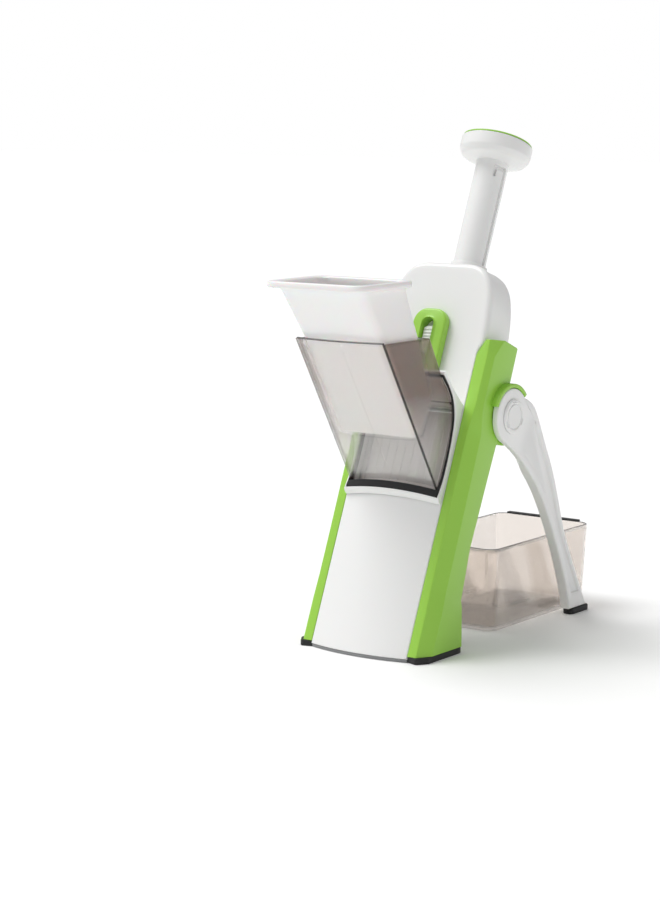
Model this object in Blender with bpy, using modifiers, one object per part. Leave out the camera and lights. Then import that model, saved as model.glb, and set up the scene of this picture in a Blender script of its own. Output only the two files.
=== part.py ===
"""Upright push-down mandoline slicer, as one object for each piece.

Lengths below are in millimetres and are turned to metres as each mesh is made. Two frames are used.
The stand frame is level: X to the right, Y to the rear, Z up, with Y = 0 at the foot of the front panel.
The lean frame is tipped back by LEAN about X: X to the right, depth behind the panel's face, and height
up along the panel. A point in front of the panel has a negative depth.
"""

import math

import bmesh
import bpy
from mathutils import Matrix, Vector

MM = 0.001
GAP = 0.3  # clearance between pieces that touch
LEAN = math.radians(22.6)

# Body
RAIL_INNER = 46.0
RAIL_OUTER = 60.0
RAIL_FOOT_OUTER = 61.3
PANEL_HALF = 45.7
PANEL_BOTTOM = 6.0
PANEL_BOW = 6.0
SHELL_WALL = 2.5
SHELL_SPLIT = 6.0
HEAD_REAR = 47.0
FOOT_HEIGHT = 4.8
RAIL_FOOT_REAR = 56.5
CHEEK_LOW = 17.0
SCREW_PLACES = ((-32, 266), (32, 266), (-32, 24), (32, 24))  # (x, height) in the lean frame

# Slicing window and collar
WINDOW_LOW = 139.0
WINDOW_HIGH = 204.0
WINDOW_HALF = 38.0
COLLAR_HALF = 45.4
GASKET_HALF = 43.4

# Chute and food pusher, as (y, z) in the stand frame
CHUTE_BOTTOM_FRONT = (51.1, 123.4)
CHUTE_TOP_FRONT = (-24.0, 247.8)
CHUTE_TOP_REAR = (37.1, 247.8)
CHUTE_HALF = 41.7
CHUTE_WALL = 2.2
CHUTE_SWEEP = (  # (depth, height) in the lean frame, from the rear wall down the slicing opening
    (-31, 219.0), (-19.5, 213.0), (-11.5, 206.5), (-6.0, 198), (-2.8, 186), (-1.9, 167), (-2.2, 148),
)
CHUTE_FOOT_SHARE = 0.024  # how far up its front wall the chute's foot is, to clear the panel
REAR_WALL_POINTS = 3  # how many points after the top rear corner the chute's rear wall runs down to
CREASE = 1.8  # how far the middle of the chute's front wall stands forward at its top
LIP_RISE = 2.1  # how much higher the middle of the chute's foot is than its corners
PUSHER_HALF = 38.3
PUSHER_WALL = 2.2
PUSHER_RIM_Z = 294.0
PUSHER_RIM_Y = -23.0
PUSHER_RIM_HALF = (46.0, 36.5)

# Plunger
SHAFT_DEPTH = 29.6
SHAFT_RADIUS = 13.3
SHAFT_LOW = 238.4
SHAFT_HIGH = 419.0
KNOB_RADIUS = 29.5
KNOB_HIGH = 440.0
CAP_THICKNESS = 1.6

# Blade carriage
CARRIAGE_HALF = 40.8
BLADE_LOW = 210.0
BLADE_SLANT = 4.0
RUNWAY_HIGH = 292.0
BRACKET_LOW = 231.0
BRACKET_HIGH = 238.0
CROSSBAR = (19.0, 22.0, 128.0, 142.0)
DIAL_HEIGHT = 135.0
COMB_DEPTH = 14.5
COMB_ROD = 206.0
BLADE_SCREW_X = 25.0
BLADE_SCREW_RISE = 13.0
SPRING_X = 30.0
SPRING_POST_HEIGHT = 306.0

# Legs and tray
PIVOT = (119.2, 180.3)
PIVOT_RADIUS = 4.0
LEG_OUTER = 66.0
LEG_HEAD_RADIUS = 22.3
LEG_LEAN = 0.0302  # how far a leg leans inwards for each millimetre below its pivot
LEG_INNER = 57.0
HEAD_ROOM_RADIUS = 33.0
HOOD_RADIUS = 26.0
CAP_SLOTS = (90, 205, 335)
LEG_OUTLINE_REAR = (
    (247.3, 5.3), (227.9, 38.0), (207.0, 75.0), (186.7, 123.8), (170.0, 154.6), (156.3, 179.0),
    (141.0, 189.0),
)
LEG_OUTLINE_FRONT = (
    (100.5, 168.0), (110.0, 160.0), (140.6, 137.9), (163.2, 114.6), (182.7, 86.2), (197.9, 58.9),
    (211.3, 31.1), (220.5, 5.3),
)
TRAY_HALF = 46.5
TRAY_FRONT = 124.0
TRAY_REAR = 279.0
TRAY_HEIGHT = 69.0
TRAY_WALL = 2.0
TRAY_DRAFT = 3.0

SIN = math.sin(LEAN)
COS = math.cos(LEAN)
RIM_FRONT = PUSHER_RIM_Y - PUSHER_RIM_HALF[1]
DATUM_Y = (RIM_FRONT + TRAY_REAR) / 2  # the object's origin stands midway between its front and its rear


def clear_scene():
    for obj in list(bpy.data.objects):
        bpy.data.objects.remove(obj, do_unlink=True)


def new_collection(name):
    collection = bpy.data.collections.new(name)
    bpy.context.scene.collection.children.link(collection)
    return collection


def new_material(name, colour, roughness, metallic=0.0, alpha=1.0, transmission=0.0):
    material = bpy.data.materials.new(name)
    material.use_nodes = True
    shader = material.node_tree.nodes["Principled BSDF"]
    shader.inputs["Base Color"].default_value = (*colour, 1)
    shader.inputs["Roughness"].default_value = roughness
    shader.inputs["Metallic"].default_value = metallic
    shader.inputs["Alpha"].default_value = alpha
    shader.inputs["Transmission Weight"].default_value = transmission
    material.diffuse_color = (*colour, alpha)
    return material


clear_scene()
PART = new_collection("mandoline_slicer")
CUTTERS = new_collection("cutters")
WHITE = new_material("white_plastic", (0.86, 0.86, 0.86), 0.25)
GREEN = new_material("green_plastic", (0.27, 0.52, 0.05), 0.35)
BLACK = new_material("black_rubber", (0.02, 0.02, 0.02), 0.7)
GREY = new_material("grey_plastic", (0.45, 0.45, 0.46), 0.5)
SMOKE = new_material("smoke_clear_plastic", (0.30, 0.22, 0.17), 0.05, alpha=0.4, transmission=0.9)
CLEAR = new_material("clear_plastic", (0.80, 0.80, 0.80), 0.08, alpha=0.4, transmission=0.9)
FROST = new_material("frosted_plastic", (0.86, 0.87, 0.88), 0.35, alpha=0.8, transmission=0.4)
STEEL = new_material("stainless_steel", (0.62, 0.62, 0.64), 0.25, metallic=1.0)


def empty(name, location, parent=None, tilt=0.0):
    frame = bpy.data.objects.new(name, None)
    PART.objects.link(frame)
    frame.parent = parent
    frame.location = Vector(location) * MM
    frame.rotation_euler = (tilt, 0, 0)
    return frame


STAND = empty("stand_frame", (0, -DATUM_Y, 0))
LEANING = empty("lean_frame", (0, 0, 0), STAND, -LEAN)


def to_lean(y, z):
    """(depth, height) in the lean frame of a point in the stand frame."""
    return (y * COS - z * SIN, y * SIN + z * COS)


def finish(obj, material, frame, at=(0, 0, 0)):
    """Gives a piece its material and its frame, with its origin moved to a point of that frame."""
    obj.data.transform(Matrix.Translation(-Vector(at) * MM))
    obj.parent = frame
    obj.location = Vector(at) * MM
    obj.data.materials.clear()
    obj.data.materials.append(material)
    return obj


def as_object(name, mesh_data):
    obj = bpy.data.objects.new(name, mesh_data)
    PART.objects.link(obj)
    return obj


def from_bmesh(name, shape):
    bmesh.ops.remove_doubles(shape, verts=shape.verts, dist=0.00001)
    bmesh.ops.recalc_face_normals(shape, faces=shape.faces)
    mesh_data = bpy.data.meshes.new(name)
    shape.to_mesh(mesh_data)
    shape.free()
    return as_object(name, mesh_data)


def plate(name, outline, low, high, across):
    """A flat outline with a thickness. across names the axis it is extruded along: x, y or z.

    The outline holds (y, z) pairs for x, (x, z) pairs for y and (x, y) pairs for z.
    """
    curve = bpy.data.curves.new(name, "CURVE")
    curve.dimensions = "2D"
    curve.fill_mode = "BOTH"
    curve.extrude = (high - low) / 2 * MM
    line = curve.splines.new("POLY")
    line.points.add(len(outline) - 1)
    for point, (a, b) in zip(line.points, outline):
        point.co = (a * MM, b * MM, 0, 1)
    line.use_cyclic_u = True
    flat = as_object(name + "_outline", curve)
    graph = bpy.context.evaluated_depsgraph_get()
    mesh_data = bpy.data.meshes.new_from_object(flat.evaluated_get(graph))
    bpy.data.objects.remove(flat, do_unlink=True)
    middle = (low + high) / 2 * MM
    turn = {
        "x": Matrix(((0, 0, 1, middle), (1, 0, 0, 0), (0, 1, 0, 0), (0, 0, 0, 1))),
        "y": Matrix(((1, 0, 0, 0), (0, 0, -1, middle), (0, 1, 0, 0), (0, 0, 0, 1))),
        "z": Matrix.Translation((0, 0, middle)),
    }[across]
    shape = bmesh.new()
    shape.from_mesh(mesh_data)
    bmesh.ops.transform(shape, matrix=turn, verts=shape.verts)
    return from_bmesh(name, shape)


def block(name, low, high):
    shape = bmesh.new()
    bmesh.ops.create_cube(shape, size=1)
    size = [(b - a) * MM for a, b in zip(low, high)]
    centre = [(a + b) / 2 * MM for a, b in zip(low, high)]
    bmesh.ops.scale(shape, vec=size, verts=shape.verts)
    bmesh.ops.translate(shape, vec=centre, verts=shape.verts)
    return from_bmesh(name, shape)


def rod(name, radius, start, end, sides=32, end_radius=None):
    """A round bar or cone between two points."""
    start = Vector(start) * MM
    end = Vector(end) * MM
    shape = bmesh.new()
    bmesh.ops.create_cone(
        shape,
        cap_ends=True,
        segments=sides,
        radius1=radius * MM,
        radius2=(radius if end_radius is None else end_radius) * MM,
        depth=(end - start).length,
    )
    turn = (end - start).to_track_quat("Z", "X").to_matrix().to_4x4()
    bmesh.ops.transform(shape, matrix=Matrix.Translation((start + end) / 2) @ turn, verts=shape.verts)
    return from_bmesh(name, shape)


def loft(name, rings, capped=True):
    """A closed body through rings of equally many points."""
    shape = bmesh.new()
    rows = [[shape.verts.new(Vector(point) * MM) for point in ring] for ring in rings]
    for lower, upper in zip(rows, rows[1:]):
        for i in range(len(lower)):
            j = (i + 1) % len(lower)
            shape.faces.new((lower[i], lower[j], upper[j], upper[i]))
    if capped:
        shape.faces.new(rows[0])
        shape.faces.new(rows[-1])
    return from_bmesh(name, shape)


def turned(name, profile, sides=48):
    """A body turned about Z from (radius, height) pairs that run from the top of the axis to its foot."""
    mesh_data = bpy.data.meshes.new(name)
    edges = [(i, i + 1) for i in range(len(profile) - 1)]
    mesh_data.from_pydata([(r * MM, 0, h * MM) for r, h in profile], edges, [])
    obj = as_object(name, mesh_data)
    screw = obj.modifiers.new("turn", "SCREW")
    screw.steps = screw.render_steps = sides
    screw.use_merge_vertices = True
    screw.merge_threshold = 0.00001
    return obj


def boolean(target, tool, operation="DIFFERENCE"):
    """Cuts, joins or meets target with tool, which stops being a piece."""
    PART.objects.unlink(tool)
    CUTTERS.objects.link(tool)
    tool.hide_render = True
    tool.display_type = "WIRE"
    modifier = target.modifiers.new(operation.lower(), "BOOLEAN")
    modifier.operation = operation
    modifier.object = tool
    modifier.solver = "EXACT"


def settle(obj):
    """Applies an object's modifiers, so that it can be cut again or moved as one mesh."""
    graph = bpy.context.evaluated_depsgraph_get()
    done = bpy.data.meshes.new_from_object(obj.evaluated_get(graph))
    obj.modifiers.clear()
    obj.data = done
    return obj


def cut(target, *tools):
    for tool in tools:
        boolean(target, tool)
    return settle(target)


def join(target, *tools):
    for tool in tools:
        boolean(target, tool, "UNION")
    return settle(target)


def arc(centre, radius, start, end, count):
    """Points on a circle between two angles in degrees."""
    angles = [math.radians(start + (end - start) * i / (count - 1)) for i in range(count)]
    return [(centre[0] + radius * math.cos(a), centre[1] + radius * math.sin(a)) for a in angles]


def rounded(half_x, half_y, radius, centre=(0, 0), count=5):
    """A rectangle with round corners."""
    corners = ((1, 1, 0), (-1, 1, 90), (-1, -1, 180), (1, -1, 270))
    points = []
    for sx, sy, start in corners:
        middle = (centre[0] + sx * (half_x - radius), centre[1] + sy * (half_y - radius))
        points += arc(middle, radius, start, start + 90, count)
    return points


def grown(outline, distance):
    """The outline with each side moved outwards; it runs anticlockwise."""
    count = len(outline)
    result = []
    for i in range(count):
        before = Vector(outline[i]) - Vector(outline[i - 1])
        after = Vector(outline[(i + 1) % count]) - Vector(outline[i])
        first = Vector((before.y, -before.x)).normalized()
        second = Vector((after.y, -after.x)).normalized()
        middle = (first + second) / (1 + first.dot(second))
        result.append(tuple(Vector(outline[i]) + middle * distance))
    return result


# Head outline as half widths at heights along the panel, at the front face and at the rear face
HEAD_FRONT = (
    (PANEL_HALF, 208), (PANEL_HALF, 250), (50.0, 262), (48.4, 282), (46.5, 298), (41.5, 311.5),
    (34.5, 320.5), (22.0, 324.0), (0, 324.3),
)
HEAD_BACK = (
    (PANEL_HALF, 208), (PANEL_HALF, 250), (45.3, 262), (44.3, 280), (41.5, 297), (36.0, 313.5),
    (29.0, 322.5), (12.0, 330.0), (0, 331.0),
)


def both_sides(half):
    """The whole outline from its right half, anticlockwise, ending at the foot of the left side."""
    return list(half) + [(-x, h) for x, h in reversed(half[:-1])]


def inset_half(half, wall, foot=None):
    """The right half of an outline moved inwards, with its foot at a height of its own."""
    whole = both_sides(half)
    moved = grown(whole, -wall)[: len(half)]
    moved[0] = (moved[0][0], whole[0][1] if foot is None else foot)
    return tuple(moved)


def panel_bow(height):
    """How far the panel's middle stands in front of its edges: full below the window, none at the head."""
    share = min(max((height - 120) / 100, 0), 1)
    return PANEL_BOW * (1 - share * share * (3 - 2 * share))


def panel_ring(height, half, wall, count=12):
    """A section across the front shell: a bowed front and a flat back."""
    bow = panel_bow(height)
    front = []
    for i in range(count + 1):
        x = half - 2 * half * i / count
        front.append((x, wall - bow * (1 - (x / PANEL_HALF) ** 2 if abs(x) < PANEL_HALF else 0), height))
    back = SHELL_SPLIT + (1 if wall else 0)
    return front + [(-half, back, height), (half, back, height)]


def front_shell(name, wall):
    heights = [(PANEL_BOTTOM + wall, PANEL_HALF - wall)]
    heights += [(h, PANEL_HALF - wall) for h in (60, 120, 145, 170, 195, 222, 250)]
    outline = inset_half(HEAD_FRONT, wall) if wall else HEAD_FRONT
    heights += [(h, x) for x, h in outline[2:-1]]
    return loft(name, [panel_ring(h, x, wall) for h, x in heights])


def make_front_housing():
    shell = front_shell("front_housing", 0)
    window = block("window", (-WINDOW_HALF, -20, WINDOW_LOW), (WINDOW_HALF, 20, WINDOW_HIGH))
    cut(shell, front_shell("shell_hollow", SHELL_WALL), window)
    finish(shell, WHITE, LEANING)


def depth_loft(name, rings):
    """A body through outlines of (x, height) at given depths."""
    return loft(name, [[(x, depth, h) for x, h in outline] for depth, outline in rings])


def make_rear_housing():
    outer = [
        (SHELL_SPLIT + GAP, both_sides(inset_half(HEAD_FRONT, 0.3))),
        (HEAD_REAR - 6, both_sides(HEAD_BACK)),
        (HEAD_REAR, both_sides(inset_half(HEAD_BACK, 4))),
    ]
    inner = [
        (SHELL_SPLIT, both_sides(inset_half(HEAD_FRONT, SHELL_WALL, 190))),
        (HEAD_REAR - 6, both_sides(inset_half(HEAD_BACK, SHELL_WALL, 190))),
        (HEAD_REAR - SHELL_WALL, both_sides(inset_half(HEAD_BACK, 6, 190))),
    ]
    housing = depth_loft("rear_housing", outer)
    cut(housing, depth_loft("head_hollow", inner))
    join(housing, rod("bushing_boss", 17, (0, SHAFT_DEPTH, 303), (0, SHAFT_DEPTH, 325), 40))
    cut(
        housing,
        rod("bushing_seat", 15.5, (0, SHAFT_DEPTH, 290), (0, SHAFT_DEPTH, 321.6), 40),
        rod("shaft_way", SHAFT_RADIUS + 0.8, (0, SHAFT_DEPTH, 290), (0, SHAFT_DEPTH, 350), 40),
    )
    for side in (-1, 1):
        inside, outside = sorted((side * (PANEL_HALF - 3.1), side * (PANEL_HALF - 0.6)))
        cheek = block("cheek", (inside, SHELL_SPLIT + 0.6, CHEEK_LOW), (outside, 35, 217))
        join(housing, cheek)
    bridge = (PANEL_HALF - 1.2, CHEEK_LOW + 0.4, CHEEK_LOW + 14)
    join(housing, block("foot_bridge", (-bridge[0], 30, bridge[1]), (bridge[0], 34.6, bridge[2])))
    for x, height in SCREW_PLACES:
        depth = 20 if height < 100 else 40
        cut(housing, rod("screw_hole", 2.0, (x, depth, height), (x, 60, height), 16))
    for side in (-1, 1):
        hole = (side * SPRING_X, 40, SPRING_POST_HEIGHT)
        cut(housing, rod("post_hole", 2.4, hole, (side * SPRING_X, 60, SPRING_POST_HEIGHT), 16))
    finish(housing, WHITE, LEANING)


def make_housing_screws():
    for number, (x, height) in enumerate(SCREW_PLACES, 1):
        face = (HEAD_REAR if height > 100 else 35.0) + GAP
        screw = rod(f"housing_screw_{number}", 3.4, (x, face, height), (x, face + 1.8, height), 20)
        join(screw, rod("shank", 1.5, (x, face - 9, height), (x, face + 1, height), 12))
        recess = rod("drive", 1.4, (x, face + 0.8, height), (x, face + 3, height), 6)
        cut(screw, recess)
        finish(screw, STEEL, LEANING)


def rail_ring(side, inner, front, slope, rear, heights, outer=RAIL_OUTER):
    """A section across a rail: inner front, front edge, side edge, outer rear, inner rear."""
    points = ((inner, 0), (front, 0), (outer, slope), (outer, rear), (min(inner, 48.4), rear))
    return [(side * x, depth, h) for (x, depth), h in zip(points, heights)]


def rail_rear(height):
    """The depth of a rail's rear edge near the foot, where that edge is upright."""
    return (RAIL_FOOT_REAR - height * SIN) / COS


def make_rail(side, name):
    rings = [
        rail_ring(side, RAIL_INNER, 54, 11, rail_rear(-25), [-25] * 5, RAIL_FOOT_OUTER),
        rail_ring(side, RAIL_INNER, 54, 11.5, rail_rear(40), [40] * 5, RAIL_FOOT_OUTER),
        rail_ring(side, RAIL_INNER, 53.5, 12, rail_rear(58), [58] * 5),
        rail_ring(side, RAIL_INNER, 53.5, 12, 33.0, [100] * 5),
        rail_ring(side, RAIL_INNER, 54, 11, 37.0, [188] * 5),
        rail_ring(side, RAIL_INNER, 56, 5, 36.6, [206] * 5),
        rail_ring(side, RAIL_INNER, 56, 5, 36.5, [250] * 5),
        rail_ring(side, 51.6, 55.5, 15, 36.3, (262, 262, 266, 266, 266)),
    ]
    rail = loft(name, rings)
    pivot = to_lean(*PIVOT)
    inside, outside = side * (RAIL_INNER + 0.2), side * (RAIL_OUTER - 1.2)
    join(rail, rod("pivot_boss", 24, (inside, *pivot), (outside, *pivot), 48))
    hood = hood_outline(pivot)
    low, high = sorted((side * (RAIL_OUTER - 1.6), side * LEG_OUTER))
    join(rail, plate("hood", hood, low, high, "x"))
    low, high = sorted((side * 40, side * (RAIL_OUTER - 2.8)))
    hollow = [(13, 20), (13, 178), (29, 172), (29, 20)]
    cut(rail, plate("rail_hollow", hollow, low, high, "x"))
    pin = rod("pin_hole", PIVOT_RADIUS + GAP, (side * 30, *pivot), (side * 80, *pivot), 24)
    cut(rail, pin)
    finish(rail, GREEN, LEANING)
    flat = block("foot_cut", (-100, -100, -60), (100, 100, FOOT_HEIGHT + GAP))
    flat.parent = STAND
    boolean(rail, flat)


def hood_outline(pivot):
    """A band over the leg's head, from behind it round to its front."""
    start = math.degrees(LEAN) + 155
    end = math.degrees(LEAN) + 36
    outer = arc(pivot, HOOD_RADIUS, start, end, 17)
    inner = arc(pivot, LEG_HEAD_RADIUS + 0.5, end, start, 17)
    return outer + inner


def foot_outline(side):
    points = [
        (RAIL_INNER, 3.0), (55.3, 0.0), (RAIL_FOOT_OUTER, 9.2), (RAIL_FOOT_OUTER, 50),
        (RAIL_OUTER, RAIL_FOOT_REAR), (RAIL_INNER, RAIL_FOOT_REAR),
    ]
    return [(side * x, y) for x, y in points]


def make_rail_foot(side, name):
    foot = plate(name, foot_outline(side), 0, FOOT_HEIGHT, "z")
    finish(foot, BLACK, STAND)


def make_base_strip():
    strip = loft("base_strip", [base_ring(0.4), base_ring(2.5)])
    finish(strip, GREY, STAND)


def base_ring(z):
    """A strip that follows the panel's bow at its foot."""
    half = RAIL_INNER - 0.6
    count = 12
    front = []
    for i in range(count + 1):
        x = half - 2 * half * i / count
        front.append((x, 2.5 - PANEL_BOW * (1 - (x / half) ** 2) / COS, z))
    return front + [(-half, 9, z), (half, 9, z)]


def bow_at(x, height):
    """How far the panel's face stands forward at a place."""
    return panel_bow(height) * max(1 - (x / PANEL_HALF) ** 2, 0)


def chute_profile():
    """The chute's side outline as (depth, height), from the foot of its front wall."""
    foot = Vector(to_lean(*CHUTE_BOTTOM_FRONT))
    top = Vector(to_lean(*CHUTE_TOP_FRONT))
    foot += (top - foot) * CHUTE_FOOT_SHARE
    return [tuple(foot), tuple(top), to_lean(*CHUTE_TOP_REAR), *CHUTE_SWEEP]



def make_chute():
    profile = chute_profile()
    foot, top = Vector(profile[0]), Vector(profile[1])
    outward = Vector((-(top - foot).y, (top - foot).x)).normalized()
    if outward.x > 0:
        outward.negate()
    shape = bmesh.new()
    columns = 13
    front = []
    for i in range(columns):
        x = -CHUTE_HALF + 2 * CHUTE_HALF * i / (columns - 1)
        share = 1 - (x / CHUTE_HALF) ** 2
        forward = bow_at(x, foot.y) - bow_at(CHUTE_HALF, foot.y)
        low = (x, foot.x - forward, foot.y + LIP_RISE * share)
        high = (x, *(top + outward * CREASE * share))
        front.append([shape.verts.new(Vector(point) * MM) for point in (low, high)])
    for (a, b), (c, d) in zip(front, front[1:]):
        shape.faces.new((a, c, d, b))
    sides = []
    for side, (low, high) in ((-1, front[0]), (1, front[-1])):
        rest = [shape.verts.new(Vector((side * CHUTE_HALF, *point)) * MM) for point in profile[2:]]
        sides.append([low, high, *rest])
        shape.faces.new(sides[-1])
    left, right = sides
    for i in range(2, 2 + REAR_WALL_POINTS):
        shape.faces.new((left[i], right[i], right[i + 1], left[i + 1]))
    chute = from_bmesh("chute", shape)
    wall = chute.modifiers.new("wall", "SOLIDIFY")
    wall.thickness = CHUTE_WALL * MM
    wall.offset = -1
    wall.use_even_offset = True
    finish(settle(chute), SMOKE, LEANING)


def gasket_edge():
    """The gasket's visible edge at the chute's sides as (depth, height), from its foot to its tip."""
    return [
        (-6.6, 131.4), (-3.9, 146), (-3.6, 167), (-5.4, 186), (-8.4, 197.5), (-14.4, 207.4),
        (-22.6, 214.2), (-34.2, 220.8),
    ]


def chute_clearance(distance):
    """The chute's side outline, grown, with its slicing opening carried back through the collar."""
    profile = chute_profile()
    profile = profile[:6] + [(8, profile[5][1]), (8, profile[0][1])]
    return grown(profile, distance) if area(profile) > 0 else grown(profile[::-1], distance)


def area(outline):
    total = 0
    for (a, b), (c, d) in zip(outline, outline[1:] + outline[:1]):
        total += a * d - b * c
    return total / 2


def band(name, half, section):
    """A bar across the panel whose (depth, height) section follows its bow and rises in the middle."""
    rings = []
    count = 14
    for i in range(count + 1):
        x = -half + 2 * half * i / count
        rise = LIP_RISE * (1 - (x / half) ** 2)
        rings.append([(x, depth - bow_at(x, 130), height + rise) for depth, height in section])
    return loft(name, rings)


def make_collar():
    edge = [(depth + 0.5, height - 0.2) for depth, height in gasket_edge()]
    edge[0] = (edge[0][0], 127.0)
    back = [
        (-36.3, 223.8), (-34.5, 226.0), (-20.5, 218.5), (-11.5, 212.0), (-5, 208.5), (-0.8, 208.0),
        (-0.8, 127.0),
    ]
    collar = plate("chute_collar", edge + back, -COLLAR_HALF, COLLAR_HALF, "x")
    way = GASKET_HALF + GAP
    cut(
        collar,
        plate("collar_way", chute_clearance(2.2), -way, way, "x"),
        block("collar_foot_way", (-way, -30, 120), (way, 8, 150)),
    )
    lip = [(-0.8, 126.4), (-5.4, 127.2), (-5.9, 130.6), (-0.8, 130.6)]
    join(collar, band("collar_lip", COLLAR_HALF - 0.2, lip))
    finish(collar, WHITE, LEANING)


def make_gasket():
    edge = gasket_edge()
    edge[0] = (edge[0][0], 132.0)
    back = [(depth + 2.0, height + 1.3) for depth, height in reversed(edge[3:])]
    back += [(-1.2, 190), (-1.2, 132.0)]
    gasket = plate("chute_gasket", edge + back, -GASKET_HALF, GASKET_HALF, "x")
    way = CHUTE_HALF + GAP
    cut(
        gasket,
        plate("gasket_way", chute_clearance(GAP), -way, way, "x"),
        block("gasket_foot_way", (-way, -30, 120), (way, 8, 150)),
    )
    lip = [(-1.2, 131.1), (-6.0, 131.1), (-6.9, 136.2), (-6.2, 136.8), (-3.0, 134.8), (-1.2, 134.8)]
    join(gasket, band("gasket_lip", GASKET_HALF - 0.2, lip))
    finish(gasket, BLACK, LEANING)


def make_latch():
    outer = rounded(15.5, 29.5, 11.5, (0, 253.5), 7)
    slot = rounded(5.8, 22.5, 5.0, (0, 252.5), 6)
    frame = plate("latch_frame", outer, -8.0, -GAP, "y")
    cut(frame, plate("latch_slot", slot, -20, 10, "y"))
    finish(frame, GREEN, LEANING)
    slider = plate("release_slider", rounded(5.2, 11.0, 3.0, (0, 258), 5), -6.4, -GAP - 0.2, "y")
    for rib in range(7):
        height = 250.4 + rib * 2.6
        cut(slider, block("rib_gap", (-4.0, -8, height - 0.5), (4.0, -5.6, height + 0.5)))
    finish(slider, WHITE, LEANING)
    coil("release_spring", (0, -3.3), 231.0, 246.4, 1.9, 0.35, 6, WHITE)


def coil(name, centre, low, high, radius, wire, turns, material):
    """A coil spring along the lean frame's height."""
    step = 10
    curve = bpy.data.curves.new(name, "CURVE")
    curve.dimensions = "3D"
    curve.bevel_depth = wire * MM
    curve.bevel_resolution = 1
    curve.use_fill_caps = True
    line = curve.splines.new("POLY")
    count = turns * step + 1
    line.points.add(count - 1)
    low += wire
    high -= wire
    for i, point in enumerate(line.points):
        angle = 2 * math.pi * i / step
        x = centre[0] + radius * math.cos(angle)
        y = centre[1] + radius * math.sin(angle)
        point.co = (x * MM, y * MM, (low + (high - low) * i / (count - 1)) * MM, 1)
    wired = as_object(name + "_path", curve)
    graph = bpy.context.evaluated_depsgraph_get()
    mesh_data = bpy.data.meshes.new_from_object(wired.evaluated_get(graph))
    bpy.data.objects.remove(wired, do_unlink=True)
    shape = bmesh.new()
    shape.from_mesh(mesh_data)
    finish(from_bmesh(name, shape), material, LEANING)


def make_plunger():
    """The shaft, the knob and its cap turn together about the shaft's axis."""
    axis = empty("plunger_axis", (0, SHAFT_DEPTH, 0), LEANING)
    shaft = turned("plunger_shaft", [
        (4.6, SHAFT_LOW + 12), (4.6, SHAFT_LOW), (SHAFT_RADIUS, SHAFT_LOW), (SHAFT_RADIUS, SHAFT_HIGH),
        (9, SHAFT_HIGH + 4), (0, SHAFT_HIGH + 4),
    ][::-1] + [(0, SHAFT_LOW + 12)], 40)
    settle(shaft)
    groove = block("shaft_groove", (SHAFT_RADIUS - 1.6, -1.8, 250), (SHAFT_RADIUS + 5, 1.8, 415.4))
    turn = block("lock_turn", (8.2, -9.6, 412), (SHAFT_RADIUS + 5, 1.6, 415))
    drop = block("lock_drop", (8.4, -9.4, 405), (SHAFT_RADIUS + 5, -6.6, 412.4))
    cut(shaft, groove, turn, drop)
    finish(shaft, WHITE, axis)
    top = KNOB_HIGH - CAP_THICKNESS - GAP
    bowl = [
        (0, top - 2.4), (KNOB_RADIUS - 4.3, top - 2.4), (KNOB_RADIUS - 4.3, top), (KNOB_RADIUS - 0.4, top),
        (KNOB_RADIUS, top - 0.5), (KNOB_RADIUS, top - 8.5), (KNOB_RADIUS - 1.2, top - 11.6),
        (KNOB_RADIUS - 4.4, top - 14.4), (KNOB_RADIUS - 9.3, top - 16.2),
        (SHAFT_RADIUS + GAP, top - 17.4), (SHAFT_RADIUS + GAP, SHAFT_HIGH + GAP),
        (9 + GAP, SHAFT_HIGH + 4.5), (0, SHAFT_HIGH + 4.5),
    ]
    finish(settle(turned("plunger_knob", bowl, 64)), WHITE, axis)
    cap_radius = KNOB_RADIUS - 0.8
    cap = [
        (0, KNOB_HIGH), (cap_radius - 9, KNOB_HIGH - 0.1), (cap_radius - 0.5, KNOB_HIGH - 0.3),
        (cap_radius, KNOB_HIGH - 0.7), (cap_radius, KNOB_HIGH - CAP_THICKNESS),
        (KNOB_RADIUS - 4.6, KNOB_HIGH - CAP_THICKNESS), (KNOB_RADIUS - 4.6, top - 2.1), (0, top - 2.1),
    ]
    finish(settle(turned("knob_cap", cap, 64)), GREEN, axis)


def make_bushing():
    axis = empty("bushing_axis", (0, SHAFT_DEPTH, 0), LEANING)
    ring = turned("shaft_bushing", [
        (SHAFT_RADIUS + 0.5, 321.2), (15.1, 321.2), (15.1, 304), (SHAFT_RADIUS + 0.5, 304),
        (SHAFT_RADIUS + 0.5, 321.2),
    ], 40)
    finish(settle(ring), GREY, axis)


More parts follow.
